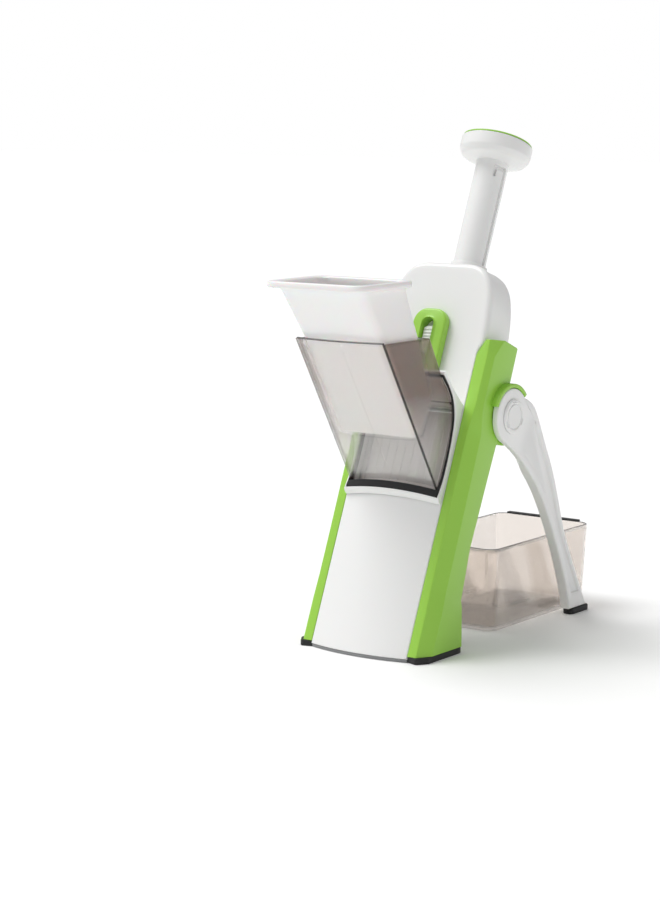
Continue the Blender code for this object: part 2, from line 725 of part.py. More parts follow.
def make_carriage():
    """The frame that carries the blade down behind the window."""
    half = CARRIAGE_HALF
    edge = BLADE_LOW + 6.0
    outline = [(-half, edge), (half, edge + BLADE_SLANT), (half, RUNWAY_HIGH), (-half, RUNWAY_HIGH)]
    runway = plate("blade_carriage", outline, 6.0, 8.6, "y")
    for side in (-1, 1):
        inside, outside = sorted((side * (half - 3.2), side * half))
        join(runway, block("arm", (inside, 6.3, CROSSBAR[2]), (outside, CROSSBAR[1], RUNWAY_HIGH - 0.4)))
    depth_low, depth_high, low, high = CROSSBAR
    join(
        runway,
        block("crossbar", (-half + 0.4, depth_low, low + 0.4), (half - 0.4, depth_high + 0.4, high)),
        block("bracket", (-half + 0.5, 8.0, BRACKET_LOW), (half - 0.5, 38.0, BRACKET_HIGH)),
        rod("peg", 4.0, (0, SHAFT_DEPTH, BRACKET_HIGH - 2), (0, SHAFT_DEPTH, SHAFT_LOW + 9), 24),
    )
    cut(
        runway,
        block("runway_window", (-26, 0, 246), (26, 10, 284)),
        rod("post_way", 3.5, (0, 10, DIAL_HEIGHT), (0, 40, DIAL_HEIGHT), 24),
        rod("comb_way", 2.4, (-60, COMB_DEPTH, COMB_ROD), (60, COMB_DEPTH, COMB_ROD), 20),
    )
    height = BLADE_LOW + BLADE_SCREW_RISE
    for x in (-BLADE_SCREW_X, BLADE_SCREW_X):
        cut(runway, rod("screw_way", 1.8, (x, 0, height), (x, 20, height), 16))
    finish(runway, WHITE, LEANING)


def make_blade():
    half = CARRIAGE_HALF - 0.8
    low = BLADE_LOW
    section = ((5.0, 2.6), (5.5, 0), (5.7, 0), (5.7, 20), (5.0, 20))
    blade = loft("main_blade", [
        [(x, depth, low + rise + min(max(20 - rise, 0) / 18, 1) * slant) for depth, rise in section]
        for x, slant in ((-half, 0), (half, BLADE_SLANT))
    ])
    finish(blade, STEEL, LEANING)
    clamp = block("blade_clamp", (-33, 8.9, low + 9.0), (33, 11.2, low + 18))
    height = low + BLADE_SCREW_RISE
    for x in (-BLADE_SCREW_X, BLADE_SCREW_X):
        cut(clamp, rod("clamp_way", 1.8, (x, 5, height), (x, 20, height), 16))
    finish(clamp, STEEL, LEANING)
    for side, word in ((-1, "left"), (1, "right")):
        x = side * BLADE_SCREW_X
        screw = rod(f"blade_screw_{word}", 3.0, (x, 11.5, height), (x, 13.2, height), 20)
        join(screw, rod("blade_shank", 1.5, (x, 6.0, height), (x, 12, height), 12))
        cut(screw, rod("blade_drive", 1.3, (x, 12.2, height), (x, 15, height), 6))
        finish(screw, STEEL, LEANING)


def make_thickness():
    face = 7.0
    stop = block("thickness_plate", (-36.6, face, 130), (36.6, face + 2.5, 202.0))
    for rib in range(8):
        x = -28 + rib * 8
        cut(stop, block("plate_groove", (x - 0.8, face - 1, 144), (x + 0.8, face + 0.5, 199)))
    finish(stop, WHITE, LEANING)
    post = rod("adjuster_post", 3.0, (0, face + 2.8, DIAL_HEIGHT), (0, 34.0, DIAL_HEIGHT), 24)
    finish(post, STEEL, LEANING)
    axis = empty("dial_axis", (0, 0, DIAL_HEIGHT), LEANING, -math.pi / 2)
    start = CROSSBAR[1] + 0.4 + GAP
    dial = turned("thickness_dial", [
        (3.4, start + 8), (11.8, start + 8), (12.8, start + 7), (12.8, start), (3.4, start),
        (3.4, start + 8),
    ], 36)
    settle(dial)
    for i in range(12):
        angle = 2 * math.pi * i / 12
        centre = (13.6 * math.cos(angle), 13.6 * math.sin(angle))
        cut(dial, rod("dial_flute", 1.7, (*centre, start - 1), (*centre, start + 9), 10))
    finish(dial, GREEN, axis)


def make_comb():
    comb = rod("julienne_comb", 2.0, (-40.2, COMB_DEPTH, COMB_ROD), (40.2, COMB_DEPTH, COMB_ROD), 20)
    for i in range(11):
        x = -30 + 5.6 * i
        join(comb, block("tooth", (x - 0.5, 13.4, COMB_ROD), (x + 0.5, 15.6, COMB_ROD + 8.0)))
    finish(comb, STEEL, LEANING)
    lever = rod("comb_lever", 3.3, (30.2, COMB_DEPTH, COMB_ROD), (34.4, COMB_DEPTH, COMB_ROD), 24)
    join(lever, block("lever_arm", (30.6, COMB_DEPTH, COMB_ROD - 1.4), (34.0, 33, COMB_ROD + 1.4)))
    cut(lever, rod("lever_way", 2.3, (20, COMB_DEPTH, COMB_ROD), (45, COMB_DEPTH, COMB_ROD), 20))
    finish(lever, GREEN, LEANING)


def make_springs():
    for side, word in ((-1, "left"), (1, "right")):
        x = side * SPRING_X
        top = SPRING_POST_HEIGHT
        coil(f"return_spring_{word}", (x, 30.0), BRACKET_HIGH + GAP, top - 2.6, 3.9, 0.6, 9, STEEL)
        post = rod(f"spring_post_{word}", 2.0, (x, 25.0, top), (x, 46.8, top), 20)
        join(post, rod("post_head", 3.2, (x, 24.0, top), (x, 25.6, top), 20))
        finish(post, STEEL, LEANING)


def sheared(obj, side):
    """Leans a leg inwards towards its foot, below the height of its pivot."""
    for vertex in obj.data.vertices:
        drop = max(PIVOT[1] - vertex.co.z / MM, 0)
        vertex.co.x -= side * drop * LEG_LEAN * MM
    return obj


def make_leg(side, word):
    outline = list(reversed(LEG_OUTLINE_REAR)) + list(reversed(LEG_OUTLINE_FRONT))
    low, high = sorted((side * LEG_INNER, side * LEG_OUTER))
    leg = plate(f"leg_{word}", outline, low, high, "x")
    inner = [
        (150, 172), (163, 150), (180, 121), (200.6, 73), (221.5, 36), (232, 17), (222, 17), (216, 32),
        (203, 60), (188, 88), (168, 117), (146, 141), (132, 152),
    ]
    low, high = sorted((side * (LEG_OUTER - 1.2), side * (LEG_OUTER + 5)))
    cut(leg, plate("leg_recess", inner, low, high, "x"))
    low, high = sorted((side * 40, side * (RAIL_OUTER + 1.1)))
    cut(leg, rod("head_room", HEAD_ROOM_RADIUS, (low, *PIVOT), (high, *PIVOT), 48))
    sheared(leg, side)
    low, high = side * (RAIL_OUTER + GAP), side * (LEG_OUTER + 0.05)
    join(leg, rod("leg_head", LEG_HEAD_RADIUS, (low, *PIVOT), (high, *PIVOT), 48))
    cut(leg, rod("leg_pin_way", PIVOT_RADIUS + GAP, (side * 30, *PIVOT), (side * 80, *PIVOT), 24))
    pivot = (0, *PIVOT)
    finish(leg, WHITE, STAND, pivot)
    drop = (PIVOT[1] - 5) * LEG_LEAN
    inside, outside = sorted((side * (LEG_INNER - drop - 0.4), side * (LEG_OUTER - drop + 0.6)))
    shoe = rounded((outside - inside) / 2, 14.2, 3.5, ((inside + outside) / 2, 237.7))
    foot = plate(f"leg_foot_{word}", shoe, 0, 5.0, "z")
    finish(foot, BLACK, STAND, pivot)
    cap = rod(f"leg_pivot_cap_{word}", 13.9, (side * 66.4, *PIVOT), (side * 67.6, *PIVOT), 48, 13.0)
    join(cap, rod("cap_dome", 11.5, (side * 67.4, *PIVOT), (side * 68.2, *PIVOT), 48, 9.0))
    for degrees in CAP_SLOTS:
        angle = math.radians(degrees)
        middle = (PIVOT[0] + 11 * math.cos(angle), PIVOT[1] + 11 * math.sin(angle))
        cut(cap, rod("cap_slot", 1.3, (side * 60, *middle), (side * 75, *middle), 10))
    finish(cap, WHITE, STAND, pivot)
    pin = rod(f"leg_pivot_pin_{word}", PIVOT_RADIUS, (side * 46.8, *PIVOT), (side * 66.1, *PIVOT), 32)
    finish(pin, STEEL, STAND, pivot)


def make_pusher():
    """A tapered cup with a flange; its foot lies parallel to the panel."""
    def ring(front, rear, half, radius, inset=0.0):
        """Rounded ring in a sloping plane from a front point to a rear point, both (y, z)."""
        middle = ((front[0] + rear[0]) / 2, (front[1] + rear[1]) / 2)
        along = Vector((rear[0] - front[0], rear[1] - front[1]))
        half_length = along.length / 2 - inset
        along.normalize()
        return [
            (x, middle[0] + along.x * t, middle[1] + along.y * t)
            for x, t in rounded(half - inset, half_length, radius - inset * 0.6, (0, 0), 4)
        ]
    walls = [
        ((27.6, 169.8), (47.4, 201.4), PUSHER_HALF - 1.2, 6),
        ((26.2, 172.0), (46.6, 203.8), PUSHER_HALF, 7),
        ((-20.6, 248.0), (31.0, 249.0), PUSHER_HALF, 8),
        ((-41.5, 276.0), (19.4, 272.0), 39.2, 9),
        ((-50.0, 289.5), (11.8, 287.0), 40.5, 9),
    ]
    rim_rear = PUSHER_RIM_Y + PUSHER_RIM_HALF[1]
    rim_half = PUSHER_RIM_HALF[0]
    rim = []
    for less, down in ((0.4, 3.0), (0.0, 1.5), (0.8, 0.0)):
        z = PUSHER_RIM_Z - down
        rim.append(((RIM_FRONT + less, z), (rim_rear - less, z), rim_half - less, 10))
    pusher = loft("food_pusher", [ring(*row) for row in walls + rim])
    wall = PUSHER_WALL
    inner = [
        ((26.2, 175.4), (44.6, 205.0), PUSHER_HALF - wall, 5),
        ((-18.2, 248.0), (28.4, 249.0), PUSHER_HALF - wall, 6),
        ((-39.4, 276.0), (17.0, 272.4), 39.2 - wall, 7),
        ((-50.5, PUSHER_RIM_Z - 4), (8.5, PUSHER_RIM_Z - 5), 40.4 - wall, 7),
        ((-53.5, PUSHER_RIM_Z + 2), (6.5, PUSHER_RIM_Z + 2), 40.4, 8),
    ]
    cut(pusher, loft("pusher_hollow", [ring(*row) for row in inner]))
    finish(pusher, FROST, STAND)
    make_grip_plate()


def make_grip_plate():
    """A plate of short prongs under the pusher's foot, in the lean frame."""
    front = to_lean(27.6, 169.8)
    rear = to_lean(47.4, 201.4)
    low, high = sorted((front[1], rear[1]))
    face = max(front[0], rear[0]) + GAP
    plate_body = block("pusher_grip_plate", (-32, face, low + 3), (32, face + 1.6, high - 3))
    for row in range(2):
        for column in range(6):
            x = -27.5 + 11 * column
            height = low + 10 + row * (high - low - 20)
            join(plate_body, rod("prong", 1.2, (x, face + 1.2, height), (x, face + 5.5, height), 8, 0.3))
    finish(plate_body, STEEL, LEANING)


def make_tray():
    def ring(z, inset=0.0):
        """A rounded oblong at a height, wider towards the rim."""
        share = z / TRAY_HEIGHT
        half = TRAY_HALF - TRAY_DRAFT * (1 - share) - inset
        front = TRAY_FRONT + TRAY_DRAFT * (1 - share) + inset
        rear = TRAY_REAR - TRAY_DRAFT * (1 - share) - inset
        outline = rounded(half, (rear - front) / 2, 10 - inset, (0, (front + rear) / 2), 6)
        return [(x, y, z) for x, y in outline]
    tray = loft("catch_tray", [ring(0, 1.5), ring(1.5), ring(TRAY_HEIGHT - 3), ring(TRAY_HEIGHT)])
    hollow = [
        [(x, y, z) for x, y, _ in ring(z, TRAY_WALL)]
        for z in (2.4, TRAY_HEIGHT - 3)
    ] + [[(x, y, TRAY_HEIGHT + 5) for x, y, _ in ring(TRAY_HEIGHT, TRAY_WALL)]]
    cut(tray, loft("tray_hollow", hollow))
    finish(tray, CLEAR, STAND)
    section = ((6.5, GAP), (1.0, GAP), (1.6, 1.8), (5.5, 1.8))
    outline = [(TRAY_REAR - inward, TRAY_HEIGHT + rise) for inward, rise in section]
    finish(plate("tray_grip", outline, -33, 33, "x"), BLACK, STAND)


def main():
    make_front_housing()
    make_rear_housing()
    make_housing_screws()
    for side, word in ((-1, "left"), (1, "right")):
        make_rail(side, f"rail_{word}")
        make_rail_foot(side, f"rail_foot_{word}")
        make_leg(side, word)
    make_base_strip()
    make_chute()
    make_collar()
    make_gasket()
    make_pusher()
    make_latch()
    make_plunger()
    make_bushing()
    make_carriage()
    make_blade()
    make_thickness()
    make_comb()
    make_springs()
    make_tray()


main()
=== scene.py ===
"""Upright push-down mandoline slicer: finished pieces, finishes, floor, light and camera.

Shapes are worked out in millimetres in one of two frames and turned to metres by lean() and stand().
In the lean frame a point is (x, depth behind the panel's face, height along the panel).
In the stand frame it is (x, y to the rear of the panel's foot, height above the table).
"""

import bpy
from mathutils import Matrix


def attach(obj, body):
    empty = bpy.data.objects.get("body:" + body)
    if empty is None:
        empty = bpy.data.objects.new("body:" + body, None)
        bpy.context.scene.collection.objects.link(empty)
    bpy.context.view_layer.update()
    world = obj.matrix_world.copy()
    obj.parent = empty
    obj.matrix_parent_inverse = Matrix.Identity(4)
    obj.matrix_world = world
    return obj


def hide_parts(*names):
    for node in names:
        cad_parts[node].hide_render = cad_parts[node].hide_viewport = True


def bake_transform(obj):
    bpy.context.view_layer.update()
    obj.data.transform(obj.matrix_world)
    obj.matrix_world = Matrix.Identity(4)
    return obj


bl_info = {
    "name": "Mandoline slicer",
    "version": (1, 0, 0),
    "blender": (4, 5, 0),
    "location": "View3D > Sidebar > Slicer",
    "description": "Builds the pieces of an upright mandoline slicer, their finishes and a plain studio",
    "category": "Add Mesh",
}

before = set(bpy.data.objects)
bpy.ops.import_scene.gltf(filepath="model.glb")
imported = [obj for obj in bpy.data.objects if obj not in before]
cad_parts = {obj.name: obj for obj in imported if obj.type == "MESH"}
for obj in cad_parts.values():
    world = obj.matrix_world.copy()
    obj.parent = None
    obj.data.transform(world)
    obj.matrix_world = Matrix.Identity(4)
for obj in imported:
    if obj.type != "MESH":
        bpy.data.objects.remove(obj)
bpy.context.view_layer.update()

import math

import bmesh
import bpy
import numpy as np
from mathutils import Vector

MM = 0.001
# Driving dimensions, in millimetres: how far the panel leans, the legs' pivot (y, z), the shaft, and the
# panel's half width, the bow at its foot, and the gap under it. DATUM is how far in front of the origin
# the panel's foot lies.
LEAN = math.radians(22.6)
SIN, COS = math.sin(LEAN), math.cos(LEAN)
PIVOT = (119.2, 180.3)
PIVOT_LEAN = (PIVOT[0] * COS - PIVOT[1] * SIN, PIVOT[0] * SIN + PIVOT[1] * COS)
SHAFT_RADIUS, SHAFT_DEPTH = 13.3, 29.6
PANEL_HALF = 45.7
PANEL_BOW = 6.0
PANEL_FOOT = 3.3
DATUM = 109.75


def lean(points):
    """World metres of (x, depth, height): y = height sin(lean) + depth cos(lean), z = height cos(lean) -
    depth sin(lean)."""
    x, depth, height = np.moveaxis(np.asarray(points, float), -1, 0)
    return np.stack([x, height * SIN + depth * COS - DATUM, height * COS - depth * SIN], -1) * MM


def stand(points):
    """World metres of (x, y, z) in the stand frame: only y is shifted."""
    return (np.asarray(points, float) - (0, DATUM, 0)) * MM


def to_lean(y, z):
    """(depth, height) in the lean frame of a (y, z) pair."""
    return np.stack(
        [np.asarray(y) * COS - np.asarray(z) * SIN, np.asarray(y) * SIN + np.asarray(z) * COS], -1,
    )


def smooth(value, low, high):
    """Zero up to low, one from high, and 3t^2 - 2t^3 between them."""
    t = np.clip((np.asarray(value, float) - low) / (high - low), 0, 1)
    return t * t * (3 - 2 * t)


def unit(vectors):
    """Vectors divided by their length, which is kept above nothing."""
    return vectors / np.maximum(np.linalg.norm(vectors, axis=-1, keepdims=True), 1e-12)


def fillet(corners, radii, steps=6):
    """A closed line with round corners. Each corner becomes an arc whose centre lies on its bisector,
    radius / sin(half angle) away, and whose points are weighted between the two tangent points as
    sin((1 - t) sweep) and sin(t sweep) over sin(sweep). corners is (..., K, D) and radii K numbers."""
    corners = np.asarray(corners, float)
    before, after = np.roll(corners, 1, -2) - corners, np.roll(corners, -1, -2) - corners
    reach = 0.48 * np.minimum(np.linalg.norm(before, axis=-1), np.linalg.norm(after, axis=-1))
    a, b = unit(before), unit(after)
    half = np.clip(0.5 * np.arccos(np.clip((a * b).sum(-1), -1, 1)), 0.01, math.pi / 2 - 0.01)
    tangent = np.minimum(np.broadcast_to(radii, half.shape) / np.tan(half), reach)[..., None]
    half = half[..., None]
    centre = corners + unit(a + b) * tangent / np.cos(half)
    sweep = math.pi - 2 * half
    t = np.linspace(0, 1, steps)[:, None]
    first, last = corners + a * tangent - centre, corners + b * tangent - centre
    sweep = sweep[..., None, :]
    arcs = (
        first[..., None, :] * np.sin((1 - t) * sweep) + last[..., None, :] * np.sin(t * sweep)
    ) / np.sin(sweep)
    points = centre[..., None, :] + arcs
    return points.reshape(*corners.shape[:-2], -1, corners.shape[-1])


def resample(line, count, closed=False):
    """count points evenly spaced along a line, found by interpolating over its length; the end is left
    out."""
    line = np.asarray(line, float)
    if closed:
        line = np.concatenate([line, line[:1]])
    steps = np.concatenate([[0], np.cumsum(np.linalg.norm(np.diff(line, axis=0), axis=1))])
    where = np.linspace(0, steps[-1], count, endpoint=False)
    return np.stack([np.interp(where, steps, column) for column in line.T], -1)


def through(keys, count):
    """A smooth line through keys by the Catmull-Rom cubic: half of 2p1 + (p2 - p0)t + (2p0 - 5p1 + 4p2 -
    p3)t^2 + (3p1 - p0 - 3p2 + p3)t^3."""
    keys = np.asarray(keys, float)
    padded = np.concatenate([2 * keys[:1] - keys[1:2], keys, 2 * keys[-1:] - keys[-2:-1]])
    where = np.linspace(0, len(keys) - 1, count)
    i = np.minimum(where.astype(int), len(keys) - 2)
    t = (where - i)[:, None]
    p0, p1, p2, p3 = (padded[i + k] for k in range(4))
    return 0.5 * (
        2 * p1 + (p2 - p0) * t + (2 * p0 - 5 * p1 + 4 * p2 - p3) * t**2 + (3 * p1 - p0 - 3 * p2 + p3) * t**3
    )


def shifted(outline, distance):
    """A closed flat line moved outwards along its mitred normals; distance may be one number or a column of
    rows."""
    outline = np.asarray(outline, float)
    x, y = outline[:, 0], outline[:, 1]
    turn = np.sign((x * np.roll(y, -1) - y * np.roll(x, -1)).sum())
    ahead = unit(np.roll(outline, -1, 0) - outline)
    mean = (ahead + np.roll(ahead, 1, 0)) / 2
    normal = np.stack([mean[:, 1], -mean[:, 0]], -1) * turn / np.maximum(
        (mean**2).sum(-1, keepdims=True), 0.2,
    )
    return outline + normal * np.asarray(distance, float)[..., None, None]


def plate_rings(outline, low, high, edge, steps=4):
    """Rings (a, b, level) of a plate with quarter-round edges: inset = edge (1 - sin) and level = edge (1 -
    cos) up from the low face, and the reverse at the high face."""
    angle = np.linspace(0, math.pi / 2, steps)
    inset = np.concatenate([edge * (1 - np.sin(angle)), edge * (1 - np.cos(angle))])
    level = np.concatenate([low + edge * (1 - np.cos(angle)), high - edge * (1 - np.sin(angle))])
    rings = shifted(outline, -inset)
    return np.concatenate([rings, np.broadcast_to(level[:, None, None], (*rings.shape[:2], 1))], -1)


def skin(rings, closed=False):
    """Quads between rings (rows, columns, 3). Each ring is closed; the ends get a face each, or meet if
    closed."""
    rows, columns = rings.shape[:2]
    index = np.arange(rows * columns).reshape(rows, columns)
    low = index if closed else index[:-1]
    high = np.roll(index, -1, 0) if closed else index[1:]
    quads = np.stack([low, np.roll(low, -1, 1), np.roll(high, -1, 1), high], -1).reshape(-1, 4).tolist()
    ends = [] if closed else [index[0, ::-1].tolist(), index[-1].tolist()]
    return rings.reshape(-1, 3), quads + ends


def lathe(profile, sides=96):
    """Rings (x, y, height) of a profile of (radius, height): x = radius cos and y = radius sin of the
    angle."""
    radius, height = np.asarray(profile, float).T[:, :, None]
    angle = np.linspace(0, 2 * math.pi, sides, endpoint=False)[None]
    return np.stack([radius * np.cos(angle), radius * np.sin(angle), height + 0 * angle], -1)


def box_rings(low, high, edge=0.6):
    """A box with round upright corners and quarter-round ends, from corner to corner."""
    low, high = np.asarray(low, float), np.asarray(high, float)
    outline = fillet(
        [(low[0], low[1]), (high[0], low[1]), (high[0], high[1]), (low[0], high[1])], [edge] * 4, 4,
    )
    return plate_rings(outline, low[2], high[2], edge, 3)


def hex_linear(code):
    """Linear red, green and blue of an sRGB hex colour: c / 12.92 up to 0.04045, else ((c + 0.055) /
    1.055)^2.4."""
    value = np.array([int(code[i : i + 2], 16) / 255 for i in (1, 3, 5)])
    return tuple(
        float(c)
        for c in np.where(value <= 0.04045, value / 12.92, ((value + 0.055) / 1.055) ** 2.4)
    )


def colour(code, name, description):
    """A colour property that starts at an sRGB hex code, turned to linear."""
    return bpy.props.FloatVectorProperty(
        name=name, description=description, default=hex_linear(code), size=3, min=0, max=1, subtype="COLOR",
    )


def length(value, name, description):
    """A length property that starts at value millimetres, kept in metres."""
    return bpy.props.FloatProperty(
        name=name, description=description, default=value * MM, min=0, unit="LENGTH", precision=4,
    )


class SlicerColours(bpy.types.PropertyGroup):
    """The colours of the slicer's finishes."""

    white: colour("#EFEFEE", "White", "Housing, legs, plunger and collar")
    green: colour("#9CD24C", "Green", "Rails, latch frame and knob cap")
    smoke: colour("#EFE2DA", "Smoke", "Tint of the chute's front")
    # Smoke side paints shade: its dark brown stands for the pusher's shaded side seen through the chute's
    # side walls, and only a little for the extra plastic there
    smoke_side_shade: colour(
        "#4A2C18", "Smoke side", "Tint of the chute's side walls, which are seen through more plastic",
    )
    smoke_edge: colour(
        "#2E2723", "Smoke edge", "Rims and corners of the chute and the tray, seen along the wall",
    )
    clear: colour("#DCCFC4", "Clear", "Tint of the catch tray")
    milk: colour("#F8F8F7", "Milk", "Food pusher")
    rubber: colour("#161618", "Rubber", "Feet, gasket and grip")
    grey: colour("#8C8D8E", "Grey", "Strip under the panel")
    steel: colour("#C9CBCE", "Steel", "Blade, springs and pins")
    floor: colour("#FFFFFF", "Floor", "Floor and backdrop")


class SlicerSizes(bpy.types.PropertyGroup):
    """Sizes that don't change the frame's fit."""

    shell_wall: length(2.5, "Housing wall", "Wall of the white housing")
    chute_wall: length(2.2, "Chute wall", "Wall of the clear chute")
    cup_wall: length(2.0, "Pusher wall", "Wall of the food pusher")
    tray_wall: length(2.0, "Tray wall", "Wall of the catch tray")
    edge: length(1.2, "Edge", "Rounding of the rails' edges")
    head_edge: length(4.0, "Head edge", "Rounding of the head's front and rear edges")
    spring_wire: length(0.6, "Spring wire", "Radius of the return springs' wire")
    spring_turns: bpy.props.IntProperty(
        name="Spring turns", description="Turns of each return spring", default=22, min=6, max=40,
    )
    slider_ribs: bpy.props.IntProperty(
        name="Slider ribs", description="Ribs on the release slider", default=7, min=3, max=9,
    )


def colours():
    """The scene's colour settings."""
    return bpy.context.scene.slicer_colours


def size(name):
    """A size in millimetres."""
    return getattr(bpy.context.scene.slicer_sizes, name) / MM


def add_node(tree, kind, settings, links):
    """Adds a node. settings holds its own settings and unlinked sockets; links maps a socket to an
    output."""
    node = tree.nodes.new(kind)
    for name, value in settings.items():
        if isinstance(name, int) or name in node.inputs:
            node.inputs[name].default_value = value
        else:
            setattr(node, name, value)
    for name, output in links.items():
        tree.links.new(output, node.inputs[name])
    return node


def finish_of(name, **sockets):
    """A material by name, with its shader's sockets set the first time."""
    material = bpy.data.materials.get(name)
    if material:
        return material, None, None
    material = bpy.data.materials.new(name)
    material.use_nodes = True
    shader = material.node_tree.nodes["Principled BSDF"]
    for socket, value in sockets.items():
        shader.inputs[socket].default_value = value
    return material, material.node_tree, shader


def moulded_skin(tree, shader, grain_mm, depth_mm):
    """The fine grain that a moulding tool leaves: noise of a grain size in object metres, as a shallow
    bump."""
    place = add_node(tree, "ShaderNodeTexCoord", {}, {})
    noise = add_node(
        tree, "ShaderNodeTexNoise", {"Scale": 1 / (grain_mm * MM), "Detail": 2.0, "Roughness": 0.5},
        {"Vector": place.outputs["Object"]},
    )
    bump = add_node(
        tree, "ShaderNodeBump", {"Strength": 0.25, "Distance": depth_mm * MM},
        {"Height": noise.outputs["Fac"]},
    )
    tree.links.new(bump.outputs["Normal"], shader.inputs["Normal"])


def white_abs():
    """Moulded ABS from a polished tool: even, glossy, with soft wide highlights."""
    material, tree, shader = finish_of(
        "Moulded glossy white ABS",
        **{
            "Base Color": (*colours().white, 1), "Roughness": 0.28, "IOR": 1.53, "Subsurface Weight": 0.04,
            "Subsurface Scale": 0.002,
        },
    )
    if tree:
        moulded_skin(tree, shader, 1.6, 0.004)
    return material


def green_abs():
    """Moulded coloured ABS from a satin tool: strong colour, broad sheen along the edges."""
    material, tree, shader = finish_of(
        "Moulded satin lime ABS", **{
            "Base Color": (*colours().green, 1), "Roughness": 0.36, "IOR": 1.53, "Subsurface Weight": 0.03,
            "Subsurface Scale": 0.002,
        }
    )
    if tree:
        moulded_skin(tree, shader, 0.9, 0.006)
    return material


def grey_abs():
    """Dull grey finish, for the shaft's bushing and for the strip under the panel's foot, which is grey to
    match the dark band there.
    """
    material, tree, shader = finish_of(
        "Moulded dull grey ABS", **{"Base Color": (*colours().grey, 1), "Roughness": 0.55, "IOR": 1.53},
    )
    if tree:
        moulded_skin(tree, shader, 0.8, 0.01)
    return material


def rubber():
    """Moulded thermoplastic rubber: near black, dull, with a faint sheen at the edges."""
    material, tree, shader = finish_of(
        "Moulded black thermoplastic rubber",
        **{"Base Color": (*colours().rubber, 1), "Roughness": 0.62, "IOR": 1.5, "Sheen Weight": 0.08},
    )
    if tree:
        moulded_skin(tree, shader, 0.7, 0.02)
    return material


def smoky_polycarbonate_with_painted_shade():
    """Moulded tinted polycarbonate: nearly clear in front. The side walls are painted brown with shade, the
    pusher's shaded side behind them, and a little with the longer path through the wall; the painted shade
    fades towards the foot."""
    material, tree, shader = finish_of(
        "Moulded smoky clear polycarbonate", **{"Roughness": 0.04, "IOR": 1.45, "Transmission Weight": 1.0}
    )
    if tree:
        place = add_node(tree, "ShaderNodeTexCoord", {}, {})
        axes = add_node(tree, "ShaderNodeSeparateXYZ", {}, {"Vector": place.outputs["Object"]})
        out = add_node(tree, "ShaderNodeMath", {"operation": "ABSOLUTE"}, {0: axes.outputs["X"]})
        # side and fade mask the painted shade: full on the side walls at the top, where the pusher's shaded
        # side lies behind them, fading towards the foot
        side = add_node(
            tree, "ShaderNodeMapRange", {"From Min": 39.6 * MM, "From Max": 40.6 * MM},
            {"Value": out.outputs[0]},
        )
        fade = add_node(
            tree, "ShaderNodeMapRange", {"From Min": 150 * MM, "From Max": 205 * MM, "To Min": 0.35},
            {"Value": axes.outputs["Z"]},
        )
        share = add_node(
            tree, "ShaderNodeMath", {"operation": "MULTIPLY"},
            {0: side.outputs["Result"], 1: fade.outputs["Result"]},
        )
        ends = {"data_type": "RGBA", 6: (*colours().smoke, 1), 7: (*colours().smoke_side_shade, 1)}
        tint = add_node(tree, "ShaderNodeMix", ends, {0: share.outputs[0]})
        tree.links.new(tint.outputs[2], shader.inputs["Base Color"])
        # The side walls cover more, so their painted shade shows darker; a little of it is the longer path
        # through the wall at a slant
        side_shade_cover = add_node(
            tree, "ShaderNodeMapRange", {"To Min": 0.3, "To Max": 0.72}, {"Value": share.outputs[0]},
        )
        tree.links.new(side_shade_cover.outputs["Result"], shader.inputs["Alpha"])
    return material


def clear_plastic_edge():
    """Rims and corners of clear plastic: one looks along the wall there, so the tint adds up to a dark
    line."""
    return finish_of(
        "Edge of clear plastic",
        **{"Base Color": (*colours().smoke_edge, 1), "Roughness": 0.12, "IOR": 1.5, "Alpha": 0.8},
    )[0]


def clear_san():
    """Moulded styrene acrylonitrile: clear with a smoky warm tint and dark rims."""
    return finish_of(
        "Moulded clear styrene acrylonitrile",
        **{
            "Base Color": (*colours().clear, 1), "Roughness": 0.05, "IOR": 1.45, "Transmission Weight": 1.0,
            "Alpha": 0.6,
        },
    )[0]


def milky_polypropylene():
    """Moulded natural polypropylene: milky, lets a little light through and glows softly from inside."""
    return finish_of(
        "Moulded milky polypropylene",
        **{
            "Base Color": (*colours().milk, 1), "Roughness": 0.35, "IOR": 1.49, "Transmission Weight": 0.05,
            "Subsurface Weight": 0.3, "Subsurface Scale": 0.004,
        },
    )[0]


def stainless_steel():
    """Ground stainless steel: grey white, with fine lines along the grinding that stretch its
    highlights."""
    material, tree, shader = finish_of(
        "Ground stainless steel",
        **{"Base Color": (*colours().steel, 1), "Roughness": 0.24, "Metallic": 1.0},
    )
    if tree:
        place = add_node(tree, "ShaderNodeTexCoord", {}, {})
        # 0.4 mm lines
        stretch = add_node(
            tree, "ShaderNodeMapping", {"Scale": (20, 2500, 2500)}, {"Vector": place.outputs["Object"]},
        )
        lines = add_node(
            tree, "ShaderNodeTexNoise", {"Scale": 1.0, "Detail": 3.0}, {"Vector": stretch.outputs["Vector"]},
        )
        spread = add_node(
            tree, "ShaderNodeMapRange", {"To Min": 0.18, "To Max": 0.36}, {"Value": lines.outputs["Fac"]},
        )
        tree.links.new(spread.outputs["Result"], shader.inputs["Roughness"])
    return material


